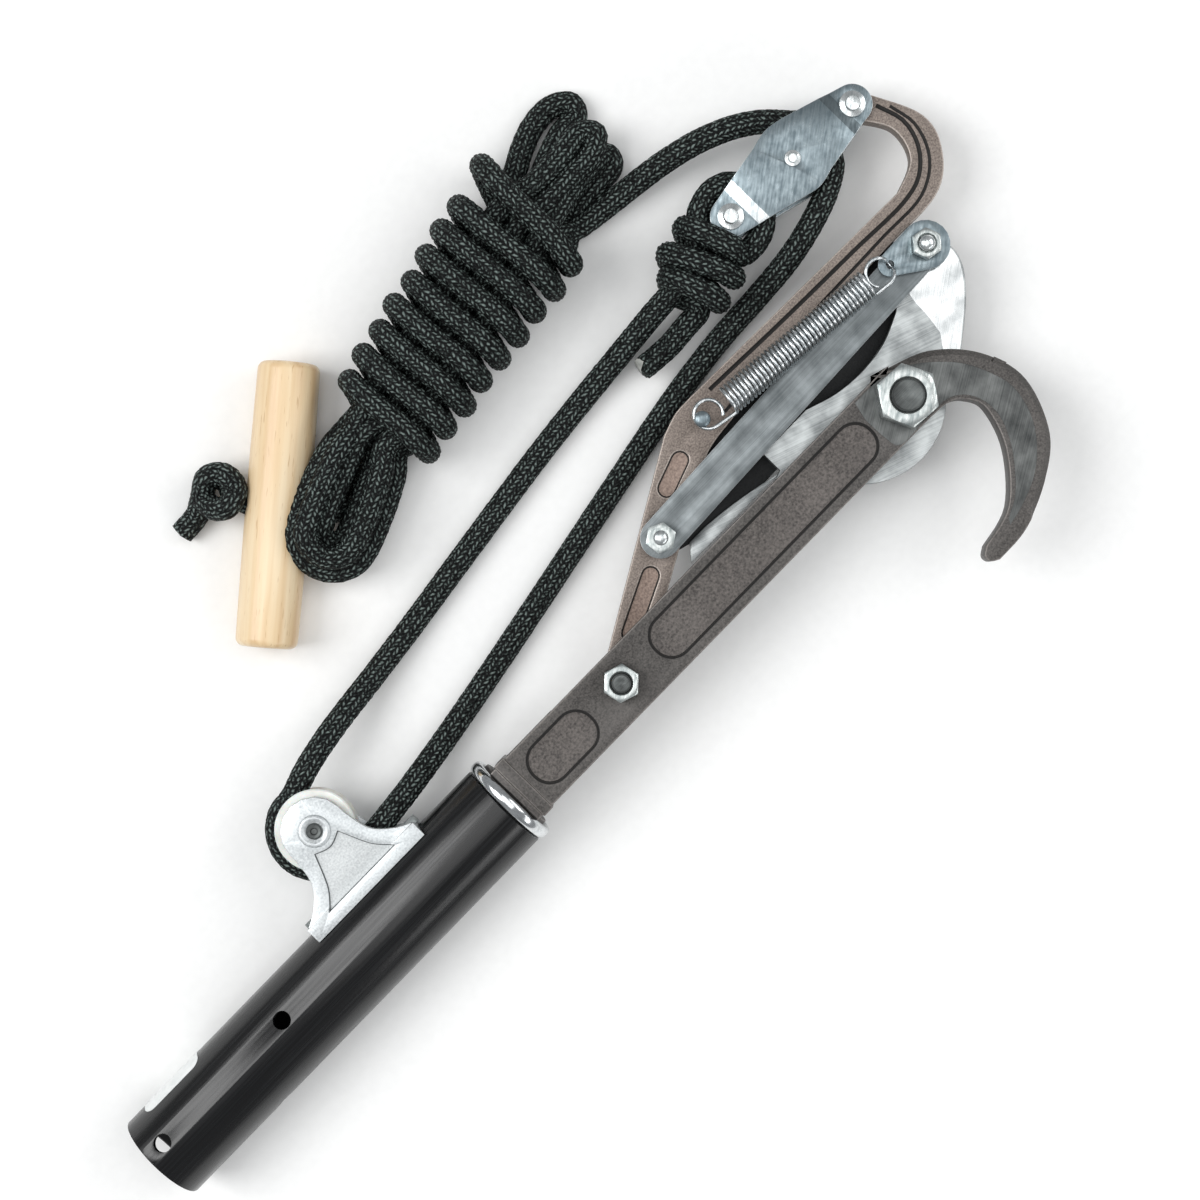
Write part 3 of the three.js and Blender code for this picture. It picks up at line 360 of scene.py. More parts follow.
@dataclass(frozen=True)
class BraidedCord(Finish):
    """Solid-braid polyester: slanted 2 mm stitches in columns, black, with grey-green highlight painted on the stitch
    crowns.
    """

    columns: int = 14
    stitch_mm: float = 2.3

    def shader(self, tree: bpy.types.NodeTree, spot: bpy.types.NodeSocket) -> dict[str, object]:
        """Builds the stitches from the rope's own coordinates: metres along it, turns around it."""
        uv = add(tree, "UVMap", {"uv_map": "Braid"}).outputs[0]
        split = add(tree, "SeparateXYZ", Vector=uv)
        math_node = lambda op, a, b=0.0: add(tree, "Math", {"operation": op}, in_0=a, in_1=b).outputs[0]
        column = math_node("MULTIPLY", split.outputs[1], float(self.columns))
        across = math_node("SUBTRACT", math_node("FRACT", column), 0.5)
        parity = math_node("SUBTRACT", math_node("MULTIPLY", math_node(
            "FRACT", math_node("MULTIPLY", math_node("FLOOR", column), 0.5)), 4.0), 1.0)
        wander = add(tree, "TexNoise", Vector=spot, Scale=1 / (2.2 * MM), Detail=2.0).outputs[0]
        run = math_node("MULTIPLY", split.outputs[0], 1 / (self.stitch_mm * MM))
        run = math_node("ADD", run, math_node("MULTIPLY", math_node("MULTIPLY", across, parity), 0.9))
        run = math_node("ADD", run, math_node("MULTIPLY", parity, 0.25))
        run = math_node("ADD", run, math_node("MULTIPLY", wander, 0.9))
        along = math_node("SUBTRACT", math_node("FRACT", run), 0.5)
        reach = math_node("ADD", math_node("POWER", math_node("ABSOLUTE", across), 2.0),
                          math_node("POWER", math_node("ABSOLUTE", along), 2.0))
        crown = level(tree, reach, 0.02, 0.3, 1.0, 0.0)
        patch = add(tree, "TexNoise", Vector=spot, Scale=1 / (1.3 * MM), Detail=1.0).outputs[0]
        # The stitch crowns are painted lighter grey-green as highlight; the cord itself is black.
        gleam = math_node("MULTIPLY", crown, level(tree, patch, 0.34, 0.54, 0.2, 1.0))
        colour = shades(tree, gleam, [(0.0, "#050606"), (0.3, "#0f1212"), (0.7, "#424b48"), (1.0, "#75817d")])
        return {
            "Base Color": colour,
            "Roughness": self.roughness,
            "Normal": bump(tree, crown, 0.55),
            "Specular IOR Level": 0.2,
        }


class Surface(Enum):
    """The finishes of this tool."""

    TUBE = Enamel("black_stoved_enamel", 0.2, 0.0)
    CHROME = Machined("chrome_plated_bead", 0.1, 1.0, "#b5b9bb", "#f2f4f5", 90, 0.5)
    HOOK = SandCast("sand_cast_steel_dark", 0.5, 0.3, "#302e2c", "#65615e")
    HOOK_EDGE = SandCast("cast_steel_worn_edge", 0.42, 0.45, "#5a5653", "#85807c")
    # painted shadow for the walls of sunk panels and grooves and the corners at their feet
    RECESS_SHADOW = SandCast("cast_steel_shadow_rim", 0.65, 0.2, "#141312", "#262422")
    PANEL = SandCast("cast_steel_panel_floor", 0.6, 0.2, "#332f2d", "#746e6a", 0.9, 0.25)
    LEVER = SandCast("cast_steel_brown", 0.5, 0.3, "#564c46", "#9d9188")
    LEVER_EDGE = SandCast("cast_steel_brown_edge", 0.4, 0.45, "#8f847c", "#c0b6ae")
    LEVER_PANEL = SandCast("cast_steel_rose_floor", 0.58, 0.2, "#6b5a51", "#a89488", 0.9, 0.25)
    PAD = Machined("milled_steel_pad", 0.36, 0.85, "#3f4141", "#6f7170", 30)
    # painted shade: near-black matt for the inside of the tube and the walls of its holes
    BORE_SHADE = SandCast("tube_bore_painted_shade", 0.9, 0.0, "#040404", "#0c0c0d")
    GROUND = Machined("ground_blade_steel", 0.34, 0.9, "#767a7b", "#b4b8b8", -20)
    HONED = Machined("honed_edge_steel", 0.2, 1.0, "#a9adae", "#dfe1e1", 35)
    STRAP = Machined("rolled_steel_strap", 0.42, 0.65, "#646a6c", "#8c9294", 0.5)
    STRAP_EDGE = Machined("strap_bright_edge", 0.3, 0.8, "#b0b5b6", "#dfe2e3", 0.5)
    # painted shade: the rear strap is the front strap's steel, darkened for the shadow it lies in
    DARK = SandCast("rear_strap_painted_shade", 0.55, 0.4, "#1b1c1d", "#323435")
    ZINC = ZincPlate("zinc_plated_steel", 0.34, 0.85)
    # lighter zinc for the rounded edges, also used as painted highlight on the joggle slopes
    ZINC_EDGE_AND_HIGHLIGHT = ZincPlate("zinc_edge_and_painted_highlight", 0.28, 0.9, "#b4bdc0", "#eef2f3")
    NUT = ZincPlate("zinc_plated_nut", 0.3, 0.85, "#8f9898", "#cfd3d1", 3)
    BOLT_END = Machined("turned_bolt_end", 0.45, 0.7, "#3c3e3e", "#6f7372")
    DOME = ZincPlate("zinc_plated_dome", 0.24, 0.9, "#b3babb", "#f0f3f3", 2)
    SPRING = ZincPlate("spring_wire_zinc", 0.24, 0.95, "#a9b0b3", "#eef1f2", 2)
    BRACKET = SandCast("die_cast_aluminium", 0.42, 0.55, "#b4b9bb", "#e0e4e5", 0.9, 0.08)
    BRACKET_EDGE = SandCast("die_cast_rubbed_edge", 0.35, 0.5, "#c4c8c9", "#e2e5e5", 0.8, 0.04)
    BRACKET_FLOOR = SandCast("die_cast_window_floor", 0.5, 0.3, "#bcc0c1", "#e2e5e5", 0.8, 0.1)
    # painted shadow on the bracket's window walls
    BRACKET_WINDOW_SHADOW = SandCast("die_cast_window_painted_shadow", 0.6, 0.2, "#4d5152", "#7b8081", 0.8, 0.1)
    # painted shadow on the joggle slopes
    STEP = ZincPlate("zinc_step_shadow", 0.4, 0.7, "#4d575b", "#6d777b")
    SHEAVE = Nylon("moulded_nylon", 0.38)
    WOOD = Beech("lacquered_beech", 0.36)
    LABEL = Satin("label_film", 0.35)
    ROPE = BraidedCord("solid_braid_polyester", 0.62)
    FLOOR = Satin("studio_paper", 0.8, 0.0, "#f7f7f6", "#fafaf9")
    ROPE_END = Satin("cut_rope_end", 0.7, 0.0, "#8d8f8b", "#c4c5c0")


# ---- modelling --------------------------------------------------------------------------


def alone(piece: bpy.types.Object) -> bpy.types.Object:
    """Selects one object and nothing else, and returns it."""
    bpy.ops.object.select_all(action="DESELECT")
    piece.select_set(True)
    bpy.context.view_layer.objects.active = piece
    return piece


def dress(piece: bpy.types.Object, *surfaces: Surface) -> bpy.types.Object:
    """Gives a piece its finishes, in the order of its slots.

    Args:
        piece: the piece.
        surfaces: its finishes, the main one first.

    Returns:
        The piece.
    """
    piece.data.materials.clear()
    for surface in surfaces:
        piece.data.materials.append(surface.value.material())
    return piece



def bevelled(piece: bpy.types.Object, width_mm: float, segments: int = 2, slot: int = -1,
             angle: float = 35.0, clamp: bool = True) -> bpy.types.Object:
    """Rounds a piece's sharp edges and smooths its shading.

    Args:
        piece: the piece.
        width_mm: the rounding's width.
        segments: faces across the rounding.
        slot: the material slot of the rounded faces, or -1 for that of the faces next to them.
        angle: the least angle of an edge that is rounded, in degrees.
        clamp: whether short faces hold the rounding back.

    Returns:
        The piece.
    """
    alone(piece)
    edge = piece.modifiers.new("edge", "BEVEL")
    edge.width = width_mm * MM
    edge.segments = segments
    edge.limit_method = "ANGLE"
    edge.angle_limit = math.radians(angle)
    edge.material = slot
    edge.miter_outer = "MITER_ARC"
    edge.use_clamp_overlap = clamp
    bpy.ops.object.modifier_apply(modifier="edge")
    bpy.ops.object.shade_smooth_by_angle(angle=math.radians(30))
    return piece


def refined(node: str, flat: float = 1.5) -> bpy.types.Object:
    """Copies a CAD node as clean faces that can be worked on, and hides the node.

    Args:
        node: the CAD node.
        flat: faces that meet at less than this many degrees become one.

    Returns:
        The copy.
    """
    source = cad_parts[node]
    piece = bpy.data.objects.new(f"{node}_fine", source.data.copy())
    bpy.context.scene.collection.objects.link(piece)
    alone(piece)
    bpy.ops.object.mode_set(mode="EDIT")
    bpy.ops.mesh.select_all(action="SELECT")
    bpy.ops.mesh.remove_doubles(threshold=0.00001)
    bpy.ops.mesh.dissolve_limited(angle_limit=math.radians(flat))
    bpy.ops.object.mode_set(mode="OBJECT")
    if piece.data.has_custom_normals:
        bpy.ops.mesh.customdata_custom_splitnormals_clear()
    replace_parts(piece, node)
    return piece


def placed(piece: bpy.types.Object, name: str) -> bpy.types.Object:
    """Moves a new piece's place into its mesh, and names it.

    Args:
        piece: the piece.
        name: its name.

    Returns:
        The piece.
    """
    piece.name = name
    piece.data.name = name
    alone(piece)
    bpy.ops.object.transform_apply(location=True, rotation=True, scale=True)
    return piece


def report(piece: bpy.types.Object, body: str) -> bpy.types.Object:
    """Puts a piece on its body and logs it.

    Args:
        piece: the piece.
        body: the CAD body that it moves with.

    Returns:
        The piece.
    """
    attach(piece, body)
    LOG.info("%s rides on %s, %d faces", piece.name, body, len(piece.data.polygons))
    return piece


# ---- studio -----------------------------------------------------------------------------


@dataclass
class Studio:
    """Camera straight above, pale floor, broad soft lights."""

    aim_mm: tuple[float, float] = (274.0, 29.0)
    distance: float = 1.0
    heading: float = 45.8
    lens: float = 77.05
    floor: float = 6.0

    def camera(self) -> None:
        """Makes the camera, whose picture's right runs at the heading below the tool's axis."""
        data = bpy.data.cameras.new("camera")
        data.lens = self.lens
        data.sensor_width = 36.0
        data.clip_end = 50.0
        camera = bpy.data.objects.new("camera", data)
        bpy.context.scene.collection.objects.link(camera)
        turn = math.radians(-self.heading)
        camera.matrix_world = Matrix.Translation(at(*self.aim_mm) + Vector((0, 0, self.distance))) @ Matrix.Rotation(
            turn, 4, "Z")
        bpy.context.scene.camera = camera

    def lamp(self, name: str, place: tuple[float, float, float], size: tuple[float, float], power: float) -> None:
        """Hangs one soft rectangular lamp that faces the tool.

        Args:
            name: the lamp's name.
            place: where it hangs, in metres from the tool's middle.
            size: its width and height in metres.
            power: its power in watts.
        """
        data = bpy.data.lights.new(name, "AREA")
        data.shape = "RECTANGLE"
        data.size, data.size_y = size
        data.energy = power
        lamp = bpy.data.objects.new(name, data)
        bpy.context.scene.collection.objects.link(lamp)
        lamp.location = Vector(place)
        lamp.rotation_euler = (-Vector(place)).to_track_quat("-Z", "Y").to_euler()

    def build(self) -> None:
        """Makes camera, floor, lamps and the room's own light."""
        self.camera()
        bpy.ops.object.select_all(action="DESELECT")
        bpy.ops.mesh.primitive_plane_add(size=self.floor, location=(0, 0, 0))
        floor = placed(bpy.context.active_object, "floor")
        dress(floor, Surface.FLOOR)
        world = bpy.data.worlds.new("room")
        bpy.context.scene.world = world
        world.use_nodes = True
        back = world.node_tree.nodes["Background"]
        back.inputs["Color"].default_value = linear("#eef1f4")
        back.inputs["Strength"].default_value = 0.34
        self.lamp("top", (0.0, 0.05, 2.0), (1.7, 1.3), 11)
        self.lamp("key", (-0.9, 1.1, 1.7), (1.3, 1.3), 28)
        self.lamp("fill", (1.5, -0.7, 1.6), (1.4, 1.0), 12)
        self.lamp("rim", (0.2, -1.7, 0.9), (1.6, 0.4), 7)
        bpy.context.scene.view_settings.view_transform = "Standard"


# ---- rope -------------------------------------------------------------------------------


def flow(points: list[Vector], step: float) -> list[Vector]:
    """Runs one smooth line through points and divides it evenly.

    Args:
        points: the points, in metres.
        step: the distance between the line's points.

    Returns:
        The line's points.
    """
    ends = [points[0] * 2 - points[1], *points, points[-1] * 2 - points[-2]]
    fine: list[Vector] = []
    for a, b, c, d in zip(ends, ends[1:], ends[2:], ends[3:]):
        knots = [0.0]
        for p, q in ((a, b), (b, c), (c, d)):
            knots.append(knots[-1] + max((q - p).length, 1e-7) ** 0.5)
        k0, k1, k2, k3 = knots
        for i in range(24):
            t = k1 + (k2 - k1) * i / 24
            ab = a.lerp(b, (t - k0) / (k1 - k0))
            bc = b.lerp(c, (t - k1) / (k2 - k1))
            cd = c.lerp(d, (t - k2) / (k3 - k2))
            fine.append(ab.lerp(bc, (t - k0) / (k2 - k0)).lerp(bc.lerp(cd, (t - k1) / (k3 - k1)), (t - k1) / (k2 - k1)))
    fine.append(points[-1].copy())
    total = sum((q - p).length for p, q in zip(fine, fine[1:]))
    count = max(2, round(total / step))
    line, gone, want = [fine[0].copy()], 0.0, total / count
    for p, q in zip(fine, fine[1:]):
        piece = (q - p).length
        while piece > 0 and gone + piece >= want * len(line) - 1e-12 and len(line) < count:
            line.append(p.lerp(q, (want * len(line) - gone) / piece))
        gone += piece
    line.append(fine[-1].copy())
    return line


def arc(centre: tuple[float, float], radius: float, start: float, end: float, steps: int) -> list[Vector]:
    """Returns points on a circle about Z, between two angles in degrees, on the tool's mid-plane."""
    turns = [math.radians(start + (end - start) * i / steps) for i in range(steps + 1)]
    return [at(centre[0] + radius * math.cos(t), centre[1] + radius * math.sin(t)) for t in turns]


@dataclass
class Rope:
    """A braided rope along a line: a tube with the braid's own relief and coordinates."""

    name: str
    line: list[Vector]
    diameter: float = 0.0096
    sides: int = 28
    relief: float = 0.00022
    seed: int = 7

    def length(self) -> float:
        """Returns the rope's length in metres."""
        return sum((q - p).length for p, q in zip(self.line, self.line[1:]))

    def build(self) -> bpy.types.Object:
        """Makes the tube, ring by ring, without twist between the rings."""
        chance = random.Random(self.seed)
        rings = len(self.line)
        ahead = [(self.line[min(i + 1, rings - 1)] - self.line[max(i - 1, 0)]).normalized() for i in range(rings)]
        side = ahead[0].orthogonal().normalized()
        points, faces, coords = [], [], []
        for i, (spot, way) in enumerate(zip(self.line, ahead)):
            side = (side - way * side.dot(way)).normalized()
            other = way.cross(side)
            for j in range(self.sides):
                turn = 2 * math.pi * j / self.sides
                lift = self.relief * ((1 if (i // 2 + j) % 2 else -1) + chance.uniform(-0.35, 0.35))
                reach = self.diameter / 2 + lift - self.relief
                points.append(spot + (side * math.cos(turn) + other * math.sin(turn)) * reach)
        gap = self.length() / (rings - 1)
        for i in range(rings - 1):
            for j in range(self.sides):
                k = (j + 1) % self.sides
                here, there = i * self.sides, (i + 1) * self.sides
                faces.append((here + j, here + k, there + k, there + j))
                u, v = j / self.sides, (j + 1) / self.sides
                coords += [(i * gap, u), (i * gap, v), ((i + 1) * gap, v), ((i + 1) * gap, u)]
        mesh = bpy.data.meshes.new(self.name)
        last = (rings - 1) * self.sides
        points += [self.line[0] - ahead[0] * self.diameter * 0.12, self.line[-1] + ahead[-1] * self.diameter * 0.12]
        for j in range(self.sides):
            k = (j + 1) % self.sides
            faces.append((len(points) - 2, k, j))
            faces.append((len(points) - 1, last + j, last + k))
            coords += [(0.0, 0.5), (0.0, k / self.sides), (0.0, j / self.sides)]
            coords += [(1.0, 0.5), (1.0, j / self.sides), (1.0, k / self.sides)]
        mesh.from_pydata([tuple(p) for p in points], [], faces)
        layer = mesh.uv_layers.new(name="Braid")
        layer.data.foreach_set("uv", [c for pair in coords for c in pair])
        piece = bpy.data.objects.new(self.name, mesh)
        bpy.context.scene.collection.objects.link(piece)
        dress(piece, Surface.ROPE, Surface.ROPE_END)
        alone(piece)
        bpy.ops.object.shade_smooth()
        return piece


LOWER_SHEAVE = (133.3, 45.8)
UPPER_SHEAVE = (448.1, 94.6)
REST = -15.1  # the axis of a rope that lies on the floor


@dataclass
class Reeve:
    """The rope's working part: tied at the block's becket, round the lower sheave, up to the block."""

    step: float = 0.00115

    def knot(self) -> list[Vector]:
        """Returns the becket's loop, two wraps of the knot and the cut tail, from the standing part."""
        rows = [
            (392, 93.6, 0), (400, 99, 0), (406.9, 105.2, 0), (411, 107.4, 0), (418, 108.8, 0), (425, 106.2, 0),
            (429, 99, 0), (428.4, 92, 0), (424, 86, 0), (417, 82.6, 0),
        ]
        for low, high in (((409, 83), (400.6, 106.6)), ((400.4, 79), (388.8, 104)), ((389.6, 76.6), (382.4, 97.4))):
            for share, up in ((0.0, 0), (0.2, 7.4), (0.5, 9.4), (0.8, 7.4), (1.0, 0)):
                rows.append((low[0] + (high[0] - low[0]) * share, low[1] + (high[1] - low[1]) * share, up))
            rows += [(high[0] - 1.5, high[1] - 6, -7.4), (high[0] + 1.5, high[1] - 15, -9.2)]
        rows += [(383, 80.6, -9.6), (374, 79.8, -10), (365, 79.2, -10), (357, 79.6, -8.6), (350.8, 80.2, -6.2)]
        return [at(*row) for row in rows]

    def build(self) -> bpy.types.Object:
        """Makes the rope from the block down to the lower sheave and back up to its knot."""
        rows = [
            (459, 82.6, 0), (450, 76.9, 0), (438, 72.6, -1), (422, 69.2, -5), (402, 67.8, -11.5),
            (380, 66.8, REST + 0.6), (351, 63.4, REST), (300, 54.2, REST), (250, 44.8, REST),
            (208, 37.2, REST + 1), (185, 33.4, -9.5), (163, 30.4, -3), (146, 29, -0.2),
        ]
        back = [
            (148, 65.4, -0.6), (165, 68.8, -4), (190, 72, -11), (215, 75.2, REST + 0.6), (250, 80, REST),
            (300, 86.5, REST), (325, 89, REST + 0.6), (351, 91, -11), (366, 92, -6), (380.5, 92.6, -1),
        ]
        line = [
            *arc(UPPER_SHEAVE, 15.3, 20, -25, 3), *[at(*row) for row in rows],
            *arc(LOWER_SHEAVE, 15.6, 262, 84, 7), *[at(*row) for row in back], *self.knot(),
        ]
        rope = Rope("rope_reeve_braid", flow(line, self.step))
        piece = rope.build()
        ends = len(piece.data.polygons)
        for face in piece.data.polygons[ends - rope.sides:]:
            face.material_index = 1
        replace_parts(piece, "rope_reeve", "rope_floor_run", "rope_lead", "becket_loop", "becket_knot", "becket_tail")
        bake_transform(piece)
        rope.length()
        LOG.info("reeved rope: %.3f m", rope.length())
        return piece


@dataclass
class Hank:
    """The hauling end, wound up as a hank, through the toggle and into its stopper knot."""

    left: tuple[float, float] = (268.0, 138.0)
    right: tuple[float, float] = (359.0, 153.0)
    wraps: int = 9
    pitch: float = 11.4
    low: float = REST
    high: float = 13.3
    slant: float = 5.0
    unevenness: tuple[float, ...] = (0.6, -0.4, 0.3, 0.0, -0.7, 0.5, -0.2, 0.4, -0.5)
    step: float = 0.0012
    with_pieces: list[bpy.types.Object] = field(default_factory=list)

    def lane(self, along: float, across: float, up: float) -> Vector:
        """Returns a place on the hank: along it from its left end, across it, and its level."""
        ax, ay = self.left
        bx, by = self.right
        length = math.hypot(bx - ax, by - ay)
        ex, ey = (bx - ax) / length, (by - ay) / length
        return at(ax + ex * along - ey * across, ay + ey * along + ex * across, up)

    def fall(self) -> list[Vector]:
        """Returns the line from the block's sheave down to the hank."""
        rows = [(452, 113, 0), (443, 119.6, 0), (430, 125.8, -1.6), (414, 130.6, -5.6), (398, 133.6, -10),
                (384, 135.8, -12.6), (372, 138, -12)]
        return [*arc(UPPER_SHEAVE, 15.3, 21, 47, 3), *[at(*row) for row in rows]]

    def core(self) -> list[Vector]:
        """Returns the six runs inside the wraps and the loops that join them at both ends."""
        runs: list[Vector] = []

        def run(start: float, end: float, across: float, up: float) -> None:
            """Adds a straight run inside the wraps."""
            for i in range(5):
                runs.append(self.lane(start + (end - start) * i / 4, across, up))

        def loop(half: float, reach: float, levels: tuple[float, ...], side: int = -1) -> None:
            """Adds a loop beyond the wraps' left end, from one side of it round to the other."""
            bend = [(reach - half + half * math.cos(t), math.sin(t)) for t in (-1.0, -0.5, 0.0, 0.5, 1.0)]
            rows = [(6, -0.75), (16, -0.95), (reach - half, -1), *bend, (reach - half, 1), (16, 0.95), (6, 0.75)]
            for i, (out, share) in enumerate(rows):
                place = i / (len(rows) - 1) * (len(levels) - 1)
                k = min(int(place), len(levels) - 2)
                up = levels[k] + (levels[k + 1] - levels[k]) * (place - k)
                off = -side * share * half
                runs.append(at(262 - 0.925 * out - 0.38 * off, 139 - 0.38 * out + 0.925 * off, up))

        far = 92.0
        run(far, 2, -9.4, -5.6)
        loop(14.2, 60, (-6, -7, -4, 2.6, -4))
        run(2, far, 9.4, -5.6)
        runs.extend(at(*p) for p in ((368, 168, -8), (379, 174.4, -12), (390, 178.6, REST), (400, 178.6, REST),
                                     (406.4, 174, REST), (404, 168.8, REST), (396, 168.4, -13), (384, 164.4, -9),
                                     (371, 158.6, -6)))
        run(far, 2, 0, -5.6)
        loop(4.9, 49, (-5.6, -5, -4, 0, 3))
        run(2, far, 0, 3.9)
        runs.extend(at(*p) for p in ((371, 151.6, 2), (385, 152.4, -2), (396, 153, -4), (403.4, 157.6, -5),
                                     (399, 162, -4.6), (387, 160.6, -1), (373, 160, 2)))
        run(far, 2, 9.4, 3.9)
        loop(9.5, 55, (3.9, 10.4, 4, 3.4, 3.9), 1)
        run(2, far, -9.4, 3.9)
        runs.extend(at(*p) for p in ((368, 146, 2), (380, 149, -4), (392, 150.6, -9), (402, 150, REST),
                                     (400.6, 145.6, REST), (390, 144.2, REST), (378, 142.6, REST)))
        return runs

    def winding(self) -> list[Vector]:
        """Returns the wraps, from the right end to the left, each a rounded oblong round the core."""
        turns: list[Vector] = []
        steps = 18
        middle_level, half = (self.low + self.high) / 2, (self.high - self.low) / 2
        for i in range(self.wraps * steps):
            gone = i / steps - 0.12
            wrap = math.floor(gone)
            angle = 2 * math.pi * (gone - wrap)
            first = self.pitch * 0.6 if wrap <= 0 else 0.0
            along = (self.wraps - 1 - wrap) * self.pitch
            if angle < math.pi:
                along += (self.slant + first) * (1 - math.cos(angle)) / 2
            else:
                along += self.slant + first - (self.slant + first + self.pitch) * (1 + math.cos(angle)) / 2
            width = 20.2 + 4.6 * max(0, along) / 92 + self.unevenness[wrap % len(self.unevenness)]
            across = -math.copysign(abs(math.cos(angle)) ** 0.72, math.cos(angle)) * width
            up = middle_level + math.copysign(abs(math.sin(angle)) ** 0.8, math.sin(angle)) * half
            turns.append(self.lane(along - self.slant / 2, across, up))
        return turns

    def ending(self) -> list[Vector]:
        """Returns the line from the last wrap through the toggle's bore into the stopper knot."""
        rows = [(262, 128, -14.4), (252, 131, REST), (243, 130, REST), (234, 126, -14), (227.6, 127.2, -10),
                (220.6, 135.8, -7.3), (212.6, 145.5, -7.3), (204.9, 155, -7.3), (203.4, 161, -9), (205, 168, -13.6),
                (200.6, 173.2, -14), (194.6, 169.6, -10.4), (194.4, 162.4, -4.6), (199.6, 158.2, 0.4),
                (206, 161, -0.6), (206.6, 168.4, -3), (201.4, 172.6, -5), (194.4, 169.6, -10), (187, 166.4, -14.2),
                (177.6, 165.8, REST)]
        return [at(*row) for row in rows]

    def build(self) -> bpy.types.Object:
        """Makes the rope and puts it on the hank's body, which the toggle also rides."""
        line = flow([*self.fall(), *self.core(), *self.winding(), *self.ending()], self.step)
        rope = Rope("rope_hank_braid", line, seed=11)
        piece = rope.build()
        for face in piece.data.polygons[len(piece.data.polygons) - rope.sides:]:
            face.material_index = 1
        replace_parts(piece, "rope_fall", "rope_hank", "stopper_knot")
        rope.length()
        LOG.info("hauling rope: %.3f m", rope.length())
        return report(piece, "hank")


# ---- turned and swept stock --------------------------------------------------------------


def turned(name: str, profile: list[tuple[float, float]], place: Vector, way: Vector,
           steps: int = 64) -> bpy.types.Object:
    """Spins a closed profile about an axis, as on a lathe.

    Args:
        name: the piece's name.
        profile: radius and height in millimetres, all round the section.
        place: the foot of the axis.
        way: the axis's direction.
        steps: faces round the piece.

    Returns:
        The piece.
    """
    bpy.ops.object.select_all(action="DESELECT")
    bpy.ops.mesh.primitive_circle_add(vertices=len(profile), radius=1, location=(0, 0, 0))
    piece = bpy.context.active_object
    frame_turn = Vector((0, 0, 1)).rotation_difference(way).to_matrix()
    for vertex, (radius, height) in zip(piece.data.vertices, profile):
        vertex.co = place + frame_turn @ (Vector((max(radius, 0.0), 0, height)) * MM)
    bpy.ops.object.mode_set(mode="EDIT")
    bpy.ops.mesh.select_all(action="SELECT")
    bpy.ops.mesh.spin(steps=steps, angle=2 * math.pi, center=place, axis=way)
    bpy.ops.mesh.select_all(action="SELECT")
    bpy.ops.mesh.remove_doubles(threshold=0.000008)
    bpy.ops.mesh.normals_make_consistent(inside=False)
    bpy.ops.object.mode_set(mode="OBJECT")
    placed(piece, name)
    bpy.ops.object.shade_smooth_by_angle(angle=math.radians(32))
    return piece



def wire(name: str, line: list[Vector], thickness_mm: float, sides: int = 3) -> bpy.types.Object:
    """Makes a round wire along a line, with closed ends.

    Args:
        name: the piece's name.
        line: the wire's axis.
        thickness_mm: its diameter.
        sides: the curve's bevel resolution.

    Returns:
        The wire as a mesh.
    """
    curve = bpy.data.curves.new(name, "CURVE")
    curve.dimensions = "3D"
    curve.bevel_depth = thickness_mm / 2 * MM
    curve.bevel_resolution = sides
    curve.use_fill_caps = True
    spline = curve.splines.new("POLY")
    spline.points.add(len(line) - 1)
    for point, spot in zip(spline.points, line):
        point.co = (*spot, 1)
    piece = bpy.data.objects.new(name, curve)
    bpy.context.scene.collection.objects.link(piece)
    alone(piece)
    bpy.ops.object.convert(target="MESH")
    piece = bpy.context.active_object
    piece.name = name
    bpy.ops.object.mode_set(mode="EDIT")
    bpy.ops.mesh.select_all(action="SELECT")
    bpy.ops.mesh.remove_doubles(threshold=0.000005)
    bpy.ops.mesh.normals_make_consistent(inside=False)
    bpy.ops.object.mode_set(mode="OBJECT")
    bpy.ops.object.shade_smooth_by_angle(angle=math.radians(50))
    return piece


def painted_corner_shade(piece: bpy.types.Object, floor: int, width_mm: float, surface: Surface, body: str) -> None:
    """Adds a thin dark wire of painted shadow in the corner round a piece's sunk floors.

    Args:
        piece: the casting.
        floor: the slot of its sunk floors.
        width_mm: the painted shadow's width.
        surface: the painted shadow's finish.
        body: the body that it rides.
    """
    counts: dict[tuple[int, int], int] = {}
    for face in piece.data.polygons:
        if face.material_index == floor:
            for key in face.edge_keys:
                counts[key] = counts.get(key, 0) + 1
    steps: dict[int, list[int]] = {}
    for (a, b), count in counts.items():
        if count == 1:
            steps.setdefault(a, []).append(b)
            steps.setdefault(b, []).append(a)
    while any(steps.values()):
        here = min(spot for spot, others in steps.items() if others)
        line = [piece.data.vertices[here].co.copy()]
        while steps[here]:
            there = steps[here].pop()
            steps[there].remove(here)
            line.append(piece.data.vertices[there].co.copy())
            here = there
        # Each wire is painted shadow laid along the foot of the walls.
        report(dress(wire(f"{piece.name}_scale", line, width_mm, 2), surface), body)


